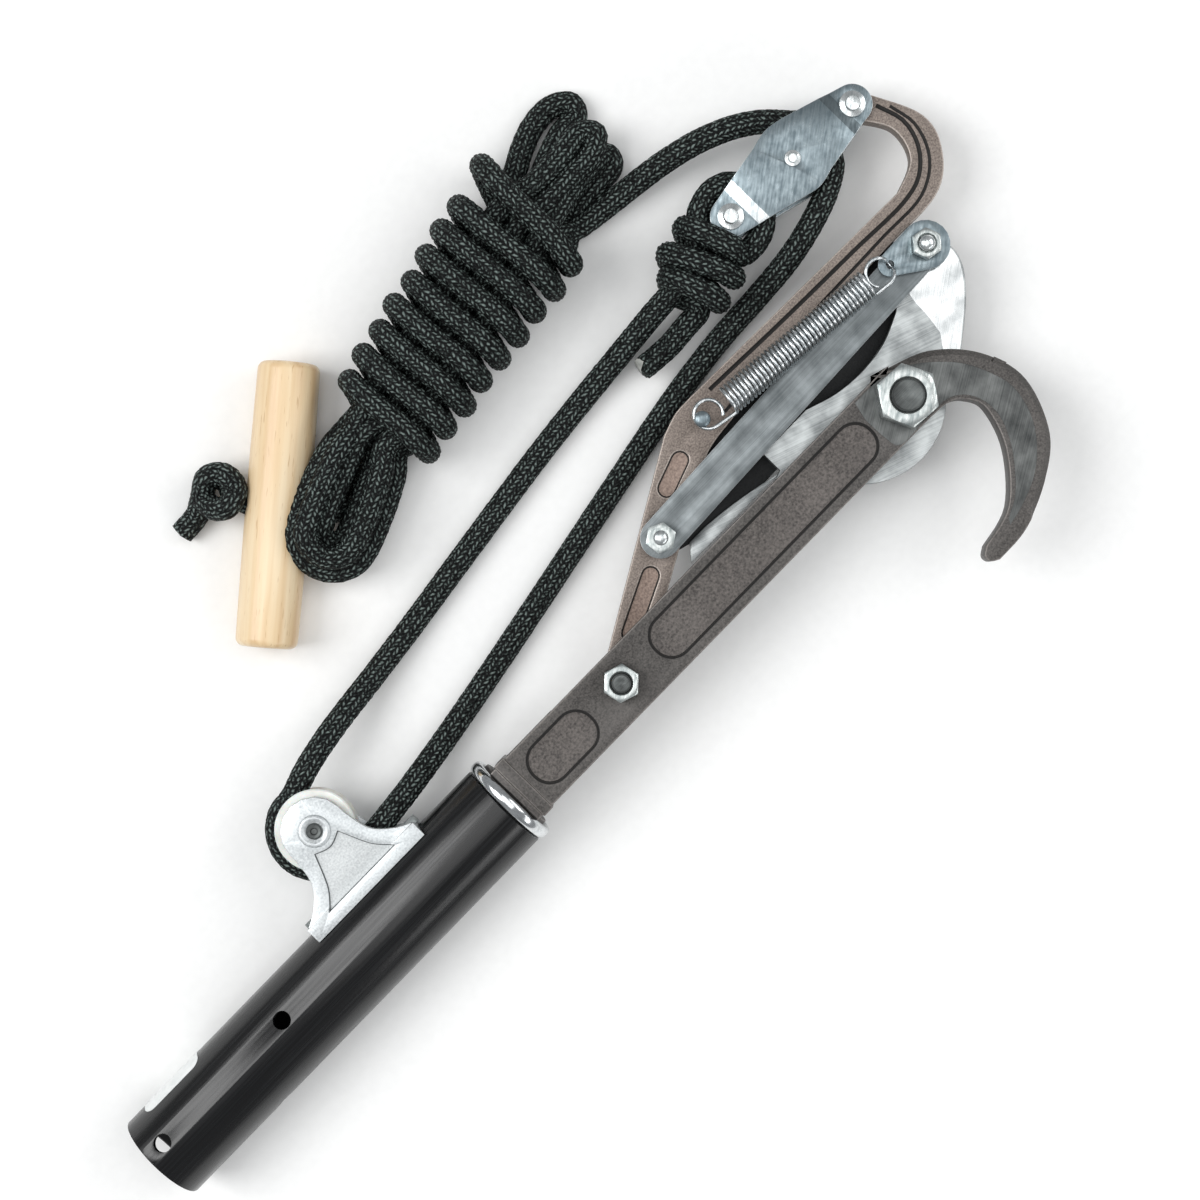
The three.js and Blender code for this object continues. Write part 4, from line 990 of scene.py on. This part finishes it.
def sheet_metal(name: str, outline: list[Vector], low: float, high: float) -> bpy.types.Object:
    """Draws a closed outline and pulls it up into a flat piece.

    Args:
        name: the piece's name.
        outline: the corners, in order.
        low: its underside's level in tool millimetres.
        high: its top's level.

    Returns:
        The piece.
    """
    bpy.ops.object.select_all(action="DESELECT")
    bpy.ops.mesh.primitive_circle_add(vertices=len(outline), radius=1, fill_type="NGON", location=(0, 0, 0))
    piece = bpy.context.active_object
    for vertex, corner in zip(piece.data.vertices, outline):
        vertex.co = Vector((corner.x, corner.y, at(0, 0, low).z))
    bpy.ops.object.mode_set(mode="EDIT")
    bpy.ops.mesh.select_all(action="SELECT")
    bpy.ops.mesh.extrude_region_move(TRANSFORM_OT_translate={"value": (0, 0, (high - low) * MM)})
    bpy.ops.mesh.select_all(action="SELECT")
    bpy.ops.mesh.normals_make_consistent(inside=False)
    bpy.ops.object.mode_set(mode="OBJECT")
    return placed(piece, name)


def carved(piece: bpy.types.Object, tools: list[bpy.types.Object], how: str = "DIFFERENCE") -> bpy.types.Object:
    """Cuts a piece with tools, or keeps what they share, and throws the tools away.

    Args:
        piece: the piece.
        tools: closed meshes.
        how: DIFFERENCE, INTERSECT or UNION.

    Returns:
        The piece.
    """
    for tool in tools:
        alone(piece)
        cut = piece.modifiers.new("cut", "BOOLEAN")
        cut.operation = how
        cut.solver = "EXACT"
        cut.object = tool
        bpy.ops.object.modifier_apply(modifier="cut")
        bpy.data.objects.remove(tool)
    return piece


# ---- the tool's sub-assemblies ----------------------------------------------------------

LEVER_PIVOT = (256.9, 1.1)
BLADE_PIVOT = (411.2, -0.6)
LINK_PIVOT = (307.4, 28.9)
TAIL_PIVOT = (459.7, 34.5)
BLOCK_PIVOT = (479.5, 92.8)
BECKET = (415.5, 96.1)
SPRING_PIN = (351.0, 49.2)
SPRING_EYE = (444.6, 39.0)
UP = Vector((0, 0, 1))
ARM_TOP = 16.8  # the hook casting's upper face
LEVER_TOP = 4.5
STRAP_TOP = 8.0
TAB_TOP = 10.2


@dataclass
class Socket:
    """The enamelled tube with its button holes, the plated bead and the blank label."""

    radius: float = 18.75
    wall: float = 2.6
    length: float = 191.0
    hole: float = 3.6
    hole_turn: float = 13.0
    holes: tuple[float, float] = (8.5, 74.0)
    side_hole: float = 50.0
    bead: float = 193.9

    def drill(self, x: float, way: Vector) -> bpy.types.Object:
        """Returns a cutter through one wall at a distance from the mouth."""
        bpy.ops.object.select_all(action="DESELECT")
        bpy.ops.mesh.primitive_cylinder_add(vertices=40, radius=self.hole * MM, depth=12 * MM)
        tool = bpy.context.active_object
        tool.matrix_world = Matrix.Translation(at(x, 0) + way * (self.radius - 2) * MM) @ UP.rotation_difference(
            way).to_matrix().to_4x4()
        return placed(tool, "drill")

    def build(self) -> None:
        """Makes the tube from drawn stock, drills it, and adds bead and label."""
        bore = self.radius - self.wall
        rim = 0.5
        profile = [(bore, rim), (bore + rim, 0), (self.radius - rim, 0), (self.radius - 0.15, 0.15),
                   (self.radius, rim), (self.radius, self.length - rim), (self.radius - rim, self.length),
                   (bore + rim, self.length), (bore, self.length - rim)]
        tube = turned("socket_tube_drawn", profile, at(0, 0), Vector((1, 0, 0)), 160)
        turn = math.radians(self.hole_turn)
        up_way = Vector((0, math.sin(turn), math.cos(turn)))
        carved(tube, [*(self.drill(x, up_way) for x in self.holes), self.drill(self.side_hole, Vector((0, -1, 0)))])
        bevelled(tube, 0.3, 2, -1, 50)
        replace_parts(dress(tube, Surface.TUBE, Surface.BORE_SHADE), "socket_tube")
        axis = at(0, 0)
        # The bore and the holes' walls take slot 1, which is painted shade.
        for face in tube.data.polygons:
            out = Vector((0, face.center.y - axis.y, face.center.z - axis.z))
            if out.length < (self.radius - 0.5) * MM and abs(face.normal.x) < 0.5:
                face.material_index = 1
        report(tube, "frame")
        section = []
        for i in range(20):
            turn = 2 * math.pi * i / 20
            section.append((18.3 + 1.6 * math.cos(turn), 2.6 * math.sin(turn)))
        bead = turned("plated_bead", section, at(self.bead, 0), Vector((1, 0, 0)), 96)
        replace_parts(dress(bead, Surface.CHROME), "end_ring")
        report(bead, "frame")
        self.label()

    def label(self) -> None:
        """Wraps a blank film with rounded corners on the tube's flank."""
        length, girth, corner = 29.0, 30.0, 4.0
        corners = []
        for cx, cy, start in ((length - corner, girth - corner, 0), (corner, girth - corner, 90),
                              (corner, corner, 180), (length - corner, corner, 270)):
            for i in range(7):
                turn = math.radians(start + 15 * i)
                corners.append(at(cx + corner * math.cos(turn), cy + corner * math.sin(turn)))
        film = sheet_metal("blank_label", corners, 0, 0.12)
        alone(film)
        bpy.ops.object.mode_set(mode="EDIT")
        for i in range(1, 24):
            bpy.ops.mesh.select_all(action="SELECT")
            bpy.ops.mesh.bisect(plane_co=at(0, girth * i / 24), plane_no=(0, 1, 0))
        bpy.ops.object.mode_set(mode="OBJECT")
        axis = at(0, 0)
        for vertex in film.data.vertices:
            spot = (vertex.co - axis) / MM
            turn = spot.y / self.radius - math.radians(58)
            reach = self.radius + 0.03 + spot.z
            vertex.co = at(10 + spot.x, reach * math.cos(turn), reach * math.sin(turn))
        alone(film)
        bpy.ops.object.mode_set(mode="EDIT")
        bpy.ops.mesh.select_all(action="SELECT")
        bpy.ops.mesh.normals_make_consistent(inside=False)
        bpy.ops.object.mode_set(mode="OBJECT")
        bpy.ops.object.shade_smooth_by_angle(angle=math.radians(30))
        report(dress(film, Surface.LABEL), "frame")


@dataclass
class HookCasting:
    """The arm with its sunk panels, the hook with its bevelled back, and the milled pad."""

    edge: float = 0.5
    back_bevel: float = 3.4
    panel_floor: float = 15.6

    def build(self) -> None:
        """Rounds the casting, bevels the hook's back and sets the finishes."""
        piece = refined("hook_casting")
        dress(piece, Surface.HOOK, Surface.HOOK_EDGE, Surface.PANEL, Surface.RECESS_SHADOW)
        top = at(0, 0, ARM_TOP).z
        alone(piece)
        bpy.ops.object.mode_set(mode="EDIT")
        bpy.ops.mesh.select_mode(type="EDGE")
        bpy.ops.mesh.select_all(action="DESELECT")
        bpy.ops.object.mode_set(mode="OBJECT")
        centre = at(405, -30)
        for line in piece.data.edges:
            ends = [piece.data.vertices[i].co for i in line.vertices]
            spot = (ends[0] + ends[1]) / 2
            reach = (spot.xy - centre.xy).length
            line.select = all(abs(e.z - top) < 1e-5 for e in ends) and spot.x > at(414, 0).x and reach > 31.5 * MM
        bpy.ops.object.mode_set(mode="EDIT")
        bpy.ops.mesh.bevel(offset=self.back_bevel * MM, segments=1, offset_type="WIDTH", affect="EDGES")
        bpy.ops.object.mode_set(mode="OBJECT")
        bevelled(piece, self.edge, 2, 1, 50, False)
        # Sunk floors take slot 2; the panel walls take slot 3, which is painted shadow.
        for face in piece.data.polygons:
            level_mm = (face.center - at(0, 0)).z / MM
            inside = abs((face.center - at(0, 0)).y / MM) < 9.2 and face.center.x < at(396, 0).x
            if face.normal.z > 0.9 and abs(level_mm - self.panel_floor) < 0.3:
                face.material_index = 2
            elif inside and self.panel_floor - 0.1 < level_mm < ARM_TOP - 0.02 and face.normal.z < 0.95:
                face.material_index = 3
        report(piece, "frame")
        painted_corner_shade(piece, 2, 1.0, Surface.RECESS_SHADOW, "frame")
        self.pad()

    def pad(self) -> None:
        """Adds the milled face round the blade's bolt, which runs on over the hook."""
        outer = [(396, 11.6), (405, 11.6), (412, 10.6), (420, 7.4), (428.6, 0.8), (435.8, -7.4), (440.4, -17),
                 (442.8, -27), (440.6, -38), (434.6, -48), (424.6, -56.6), (412.6, -61.6), (404, -63.6)]
        inner = [(405.6, -61.2), (413, -57.4), (420.6, -50), (427.2, -41), (431.2, -31.6), (431.2, -23.4),
                 (428.2, -16.8), (422.6, -12.8), (412, -12.0), (396, -11.8), (394.6, -6), (394.2, 4)]
        line = flow([at(*p) for p in outer], 0.0025) + flow([at(*p) for p in inner], 0.0025)
        pad = sheet_metal("milled_pad", line, ARM_TOP - 0.1, ARM_TOP + 0.12)
        bevelled(pad, 0.06, 1)
        report(dress(pad, Surface.PAD), "frame")


@dataclass
class Lever:
    """The brown cast lever with rose panels, its bent end with a groove, and the stop finger."""

    edge: float = 0.5
    panel_floor: float = 3.3

    def groove(self, rows: list[tuple[float, float]]) -> list[Vector]:
        """Returns a line that runs along the lever's upper face."""
        return flow([at(x, y, LEVER_TOP + 0.25) for x, y in rows], 0.003)

    def build(self) -> None:
        """Cuts the grooves, rounds the casting and sets the finishes."""
        piece = refined("lever_casting")
        upper = self.groove([(362, 55.4), (400, 53.8), (440, 52.8), (468, 52.2), (478, 55), (486, 63), (489.2, 74),
                             (486, 86)])
        lower = self.groove([(360, 45.2), (400, 47.2), (450, 48.4), (474, 49.2), (486, 57), (491.4, 70),
                             (489.6, 82)])
        dress(piece, Surface.LEVER, Surface.LEVER_EDGE, Surface.LEVER_PANEL, Surface.RECESS_SHADOW)
        bevelled(piece, self.edge, 2, 1, 50, False)
        carved(piece, [wire("upper_groove", upper, 1.9, 2), wire("lower_groove", lower, 1.5, 2)])
        bpy.ops.object.shade_smooth_by_angle(angle=math.radians(30))
        # Flat floors take slot 2; the groove walls take slot 3, which is painted shadow.
        for face in piece.data.polygons:
            spot = (face.center - at(0, 0)) / MM
            if face.normal.z > 0.9 and abs(spot.z - self.panel_floor) < 0.2:
                face.material_index = 2
            elif spot.x > 350 and LEVER_TOP - 1 < spot.z < LEVER_TOP - 0.05 and min(
                    (point.xy - face.center.xy).length for point in upper + lower) < 1.7 * MM:
                face.material_index = 3
        report(piece, "lever")
        painted_corner_shade(piece, 2, 0.8, Surface.RECESS_SHADOW, "lever")
        finger = bevelled(refined("stop_finger"), 0.5)
        report(dress(finger, Surface.GROUND), "lever")
        pin = turned("spring_pin_domed", [(0, -4.5), (1.5, -4.5), (1.5, 15.4), (3.0, 15.65), (3.2, 16.3),
                                          (2.95, 17.1), (2.2, 17.7), (1.0, 17.95), (0, 17.95)], at(*SPRING_PIN), UP, 40)
        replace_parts(dress(pin, Surface.ZINC), "spring_pin")
        report(pin, "lever")


@dataclass
class BladeAndLinks:
    """The ground blade, the two straps, the spring tab and the spacer."""

    def build(self) -> None:
        """Rounds each plate to its own edge and sets its finish."""
        blade = bevelled(refined("blade"), 0.35, 1)
        report(dress(blade, Surface.GROUND), "blade")
        spacer = bevelled(refined("tail_spacer"), 0.3)
        report(dress(spacer, Surface.BOLT_END), "blade")
        front = dress(refined("link_front"), Surface.STRAP, Surface.STRAP_EDGE)
        report(bevelled(front, 0.6, 2, 1), "links")
        # The rear strap's near-black colour is painted shade; it is the same steel as the front strap.
        rear = dress(refined("link_rear"), Surface.DARK)
        report(bevelled(rear, 0.5), "links")
        tab = dress(refined("spring_tab"), Surface.ZINC, Surface.ZINC_EDGE_AND_HIGHLIGHT)
        report(bevelled(tab, 0.35, 2, 1), "links")
        self.hone()

    def hone(self) -> None:
        """Adds the honed facet along the blade's curved back, up to the crease."""
        rows = [(466.3, 34), (466.0, 22.5), (458.6, 11.6), (442.8, -1.8), (424.6, -14.4), (440.2, 6.6),
                (441.6, 15.4), (442.4, 24.6), (447, 33.4), (452.6, 33.6)]
        outer = flow([at(*p) for p in rows[:5]], 0.003)
        inner = flow([at(*p) for p in rows[5:]], 0.003)
        facet = sheet_metal("honed_facet", outer + inner, LEVER_TOP - 0.05, LEVER_TOP + 0.07)
        report(dress(facet, Surface.HONED), "blade")


class Grip(Enum):
    """How a bolt is held: its nut's width across flats, nut height, bolt radius and its foot's level."""

    LEVER = (13.0, 6.5, 3.75, ARM_TOP + 0.3)
    BLADE = (21.6, 9.0, 6.3, ARM_TOP + 0.3)
    LINK = (10.6, 4.6, 3.0, STRAP_TOP + 0.3)
    TAIL = (10.6, 4.6, 3.0, TAB_TOP + 0.3)


@dataclass
class Bolting:
    """One bolt with its chamfered hexagonal nut."""

    grip: Grip
    place: tuple[float, float]
    nut_node: str
    bolt_node: str
    body: str
    turn: float = 0.0
    bolt_low: float = -8.0
    head_radius: float = 5.6
    head_height: float = 1.7
    bolt_body: str = ""
    end: Surface = Surface.BOLT_END

    def build(self) -> None:
        """Makes the nut from a hexagonal bar faced on a lathe, and the bolt from a turned bar."""
        flats, height, radius, foot = self.grip.value
        bpy.ops.object.select_all(action="DESELECT")
        bpy.ops.mesh.primitive_cylinder_add(vertices=6, radius=flats / math.sqrt(3) * MM, depth=height * MM,
                                            location=at(*self.place, foot + height / 2))
        nut = bpy.context.active_object
        bpy.ops.object.mode_set(mode="EDIT")
        bpy.ops.mesh.select_all(action="SELECT")
        spot = at(*self.place, foot + height / 2)
        bpy.ops.transform.rotate(value=math.radians(-self.turn), orient_axis="Z", center_override=spot)
        bpy.ops.object.mode_set(mode="OBJECT")
        placed(nut, f"{self.nut_node}_faced")
        corner = flats / math.sqrt(3)
        slope = (corner - flats / 2) * 0.62
        blank = [(0, 0), (flats / 2 * 0.985, 0), (corner * 1.01, slope), (corner * 1.01, height - slope),
                 (flats / 2 * 0.985, height), (0, height)]
        carved(nut, [turned("blank", blank, at(*self.place, foot), UP, 72)], "INTERSECT")
        bore = [(0, -1), (radius + 0.2, -1), (radius + 0.2, height - 0.7), (radius + 0.9, height + 0.02),
                (radius + 0.9, height + 1), (0, height + 1)]
        carved(nut, [turned("bore", bore, at(*self.place, foot), UP, 48)])
        bevelled(nut, 0.22, 2, -1, 28)
        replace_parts(dress(nut, Surface.NUT), self.nut_node)
        report(nut, self.body)
        top = foot + height + 1.6
        low, high = self.bolt_low - self.head_height, top
        profile = [(0, low), (self.head_radius - 0.8, low), (self.head_radius, low + 0.5),
                   (self.head_radius, self.bolt_low), (radius, self.bolt_low)]
        profile += [(radius, foot + height - 0.6)]
        level_mm = foot + height - 0.4
        while level_mm < high - 0.7:
            profile += [(radius - 0.25, level_mm), (radius, level_mm + 0.25)]
            level_mm += 0.5
        if self.end is Surface.DOME:
            profile += [(radius, high - 0.7), (radius * 0.85, high - 0.1), (radius * 0.5, high + 0.4), (0, high + 0.6)]
        else:
            profile += [(radius - 0.7, high), (radius * 0.45, high), (radius * 0.3, high - 0.35), (0, high - 0.4)]
        bolt = turned(f"{self.bolt_node}_turned", profile, at(*self.place), UP, 48)
        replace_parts(dress(bolt, self.end), self.bolt_node)
        report(bolt, self.bolt_body or self.body)


@dataclass
class Spring:
    """The close-wound return spring, one wire from the pin's loop to the tab's."""

    start: tuple[float, float] = (363.0, 47.0)
    end: tuple[float, float] = (433.1, 40.0)
    level: float = 14.6
    radius: float = 5.35
    wire_mm: float = 1.5
    turns: int = 38
    loop: float = 5.6

    def build(self) -> None:
        """Winds the coil and bends its two end loops."""
        first, last = at(*self.start, self.level), at(*self.end, self.level)
        way = (last - first).normalized()
        side = way.cross(UP)
        pin, eye = at(*SPRING_PIN, self.level), at(*SPRING_EYE, self.level)
        near = pin + way * (self.loop - 0.75 - 1.5 - 0.2) * MM
        far = eye - way * self.loop * MM
        line = []
        for i in range(26):
            turn = math.pi * (0.5 + 1.75 * (1 - i / 25))
            line.append(near + (way * math.cos(turn) + side * math.sin(turn)) * self.loop * MM)
        steps = self.turns * 18
        for i in range(steps + 1):
            turn = 2 * math.pi * i / 18
            reach = self.radius * MM
            line.append(first.lerp(last, i / steps) + (side * math.cos(turn) + UP * math.sin(turn)) * reach)
        for i in range(26):
            turn = math.pi * (0.5 - 1.75 * i / 25)
            dip = (self.level - TAB_TOP + 1.2) * math.exp(-(turn / 0.5) ** 2)
            line.append(far + (way * math.cos(turn) + side * math.sin(turn)) * self.loop * MM - UP * dip * MM)
        coil = wire("return_spring", line, self.wire_mm, 3)
        dress(coil, Surface.SPRING)
        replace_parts(coil, "spring_coil", "spring_hook_lever", "spring_hook_tab")
        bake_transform(coil)
        LOG.info("return spring: %d turns", self.turns)


@dataclass
class Pulley:
    """A nylon sheave with a rounded groove."""

    name: str
    node: str
    place: tuple[float, float]
    flange: float
    root: float
    body: str
    bore: float = 2.6
    half: float = 6.0
    groove: float = 5.6

    def build(self) -> None:
        """Turns the sheave."""
        middle_radius = self.root + self.groove
        widest = math.acos((middle_radius - self.flange + 0.3) / self.groove)
        rows = [(self.bore, -self.half + 0.3), (self.bore + 0.3, -self.half), (self.flange - 0.5, -self.half),
                (self.flange, -self.half + 0.5)]
        for i in range(13):
            angle = widest * (1 - i / 6)
            rows.append((middle_radius - self.groove * math.cos(angle), -self.groove * math.sin(angle)))
        rows += [(self.flange, self.half - 0.5), (self.flange - 0.5, self.half), (self.bore + 0.3, self.half),
                 (self.bore, self.half - 0.3)]
        sheave = turned(self.name, rows, at(*self.place), UP, 96)
        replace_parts(dress(sheave, Surface.SHEAVE), self.node)
        report(sheave, self.body)


@dataclass
class Bracket:
    """The die-cast pulley bracket on the socket, its screws and the riveted axle."""

    edge: float = 0.7
    window_floor: float = 8.8

    def build(self) -> None:
        """Rounds the casting, paints shadow on its window walls and in their corners, and adds axle and screws."""
        piece = dress(refined("pulley_bracket"), Surface.BRACKET, Surface.BRACKET_FLOOR, Surface.BRACKET_EDGE,
                      Surface.BRACKET_WINDOW_SHADOW)
        bevelled(piece, self.edge, 2, 2)
        # Window floors take slot 1; the window walls take slot 3, which is painted shadow.
        for face in piece.data.polygons:
            spot = (face.center - at(0, 0)) / MM
            if abs(face.normal.z) > 0.9 and abs(abs(spot.z) - self.window_floor) < 0.2:
                face.material_index = 1
            elif abs(face.normal.z) < 0.9 and self.window_floor - 0.1 < abs(spot.z) < 10.2 and spot.y > 18.6:
                face.material_index = 3
        report(piece, "frame")
        painted_corner_shade(piece, 1, 0.6, Surface.BRACKET_WINDOW_SHADOW, "frame")
        head = 10.3
        for side in (-1, 1):
            rows = [(3.6, 0), (6.4, 0), (6.1, 0.6), (5.5, 0.95), (4.9, 0.95), (4.3, 0.6), (3.6, 0.3)]
            boss = turned("axle_boss", rows, at(*LOWER_SHEAVE, side * head), UP * side, 48)
            report(dress(boss, Surface.BRACKET), "frame")
        rows = [(0, -head - 1.2), (2.2, -head - 1.2), (3.2, -head - 0.5), (3.2, -head), (2.4, -head),
                (2.4, head), (3.2, head), (3.2, head + 0.5), (2.6, head + 1.2), (1.5, head + 1.0), (1.1, head + 0.3),
                (0, head + 0.2)]
        axle = turned("lower_axle_riveted", rows, at(*LOWER_SHEAVE), UP, 40)
        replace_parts(dress(axle, Surface.BOLT_END), "lower_axle")
        report(axle, "frame")
        for number in (1, 2):
            screw = bevelled(refined(f"bracket_screw_{number}"), 0.35)
            report(dress(screw, Surface.NUT), "frame")
        Pulley("lower_sheave_turned", "lower_sheave", LOWER_SHEAVE, 16.0, 10.0, "lower_pulley").build()


@dataclass
class Block:
    """The upper block: two stepped zinc plates, the sheave between them and three rivets."""

    edge: float = 0.4

    def rivet(self, node: str, place: tuple[float, float], grip: float, shank: float, head: float,
              rise: float) -> None:
        """Adds a domed rivet on a washer through both plates."""
        low, high = -grip - 0.3, grip + 0.3
        rows = [(0, low - rise), (head * 0.55, low - rise * 0.9), (head * 0.9, low - rise * 0.5), (head, low),
                (shank, low), (shank, high), (head, high), (head * 0.97, high + rise * 0.3),
                (head * 0.72, high + rise * 0.42), (head * 0.6, high + rise * 0.5), (head * 0.52, high + rise * 0.95),
                (head * 0.3, high + rise), (0, high + rise)]
        piece = turned(f"{node}_domed", rows, at(*place), UP, 40)
        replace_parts(dress(piece, Surface.DOME), node)
        report(piece, "block")

    def build(self) -> None:
        """Rounds the plates' edges, paints highlight and shadow on their joggles, and adds sheave and rivets."""
        for node in ("block_plate_front", "block_plate_rear"):
            plate = dress(refined(node), Surface.ZINC, Surface.ZINC_EDGE_AND_HIGHLIGHT, Surface.STEP)
            bevelled(plate, self.edge, 2, 1, 40)
            # Joggle slopes left of the sheave take slot 1 as painted highlight, those right of it slot 2 as painted
            # shadow.
            for face in plate.data.polygons:
                if 0.15 < abs(face.normal.z) < 0.95 and face.area > 1e-5:
                    face.material_index = 1 if face.center.x < UPPER_SHEAVE[0] * MM + ORIGIN.x else 2
            report(plate, "block")
        Pulley("upper_sheave_turned", "upper_sheave", UPPER_SHEAVE, 13.8, 9.7, "upper_pulley").build()
        self.rivet("sheave_rivet", UPPER_SHEAVE, 8.5, 2.4, 3.2, 1.2)
        self.rivet("becket_bolt", BECKET, 6.8, 2.9, 5.2, 3.0)
        self.rivet("block_bolt", BLOCK_PIVOT, 6.8, 2.9, 5.2, 3.0)


@dataclass
class Toggle:
    """The beech toggle, turned with soft ends and bored across for the rope."""

    centre: tuple[float, float] = (212.6, 145.5)
    turn: float = 39.5
    length: float = 112.0
    radius: float = 12.6
    bore: float = 5.6
    level: float = -7.3

    def build(self) -> bpy.types.Object:
        """Turns the toggle and bores it."""
        turn = math.radians(self.turn)
        way = Vector((math.cos(turn), math.sin(turn), 0))
        half = self.length / 2
        rows = [(0, -half)]
        for i in range(7):
            angle = math.pi / 2 * i / 6
            rows.append((self.radius - 3.6 + 3.2 * math.sin(angle), -half + 3.2 - 3.2 * math.cos(angle)))
        for i in range(1, 12):
            share = i / 12
            rows.append((self.radius - 0.4 + 0.4 * math.sin(math.pi * share), -half + 3.2 + (self.length - 6.4) * share))
        rows += [(radius, -height) for radius, height in reversed(rows[:8])]
        toggle = turned("beech_toggle", rows, at(*self.centre, self.level), way, 96)
        across = Vector((way.y, -way.x, 0))
        bpy.ops.object.select_all(action="DESELECT")
        bpy.ops.mesh.primitive_cylinder_add(vertices=48, radius=self.bore * MM, depth=60 * MM)
        drill = bpy.context.active_object
        drill.matrix_world = Matrix.Translation(at(*self.centre, self.level)) @ UP.rotation_difference(
            across).to_matrix().to_4x4()
        carved(toggle, [placed(drill, "toggle_drill")])
        bevelled(toggle, 0.8, 3, -1, 40)
        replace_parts(dress(toggle, Surface.WOOD), "toggle_handle")
        return report(toggle, "hank")


def main() -> None:
    """Builds the tool, piece by piece, and its studio."""
    logging.basicConfig(level=logging.INFO, format="%(name)s: %(message)s")
    Studio().build()
    Reeve().build()
    Hank(with_pieces=[Toggle().build()]).build()
    Socket().build()
    HookCasting().build()
    Lever().build()
    BladeAndLinks().build()
    Bolting(Grip.LEVER, LEVER_PIVOT, "lever_nut", "lever_bolt", "frame", 12, -4.8, 6.6, 4.4).build()
    Bolting(Grip.BLADE, BLADE_PIVOT, "blade_nut", "blade_bolt", "frame", 25, -0.8, 11.5, 3.6).build()
    Bolting(Grip.LINK, LINK_PIVOT, "link_nut", "link_bolt", "links", 5, -8.3, end=Surface.DOME).build()
    Bolting(Grip.TAIL, TAIL_PIVOT, "tail_nut", "tail_bolt", "blade", 20, -8.3, end=Surface.DOME).build()
    Spring().build()
    Bracket().build()
    Block().build()


if __name__ == "__main__":
    main()
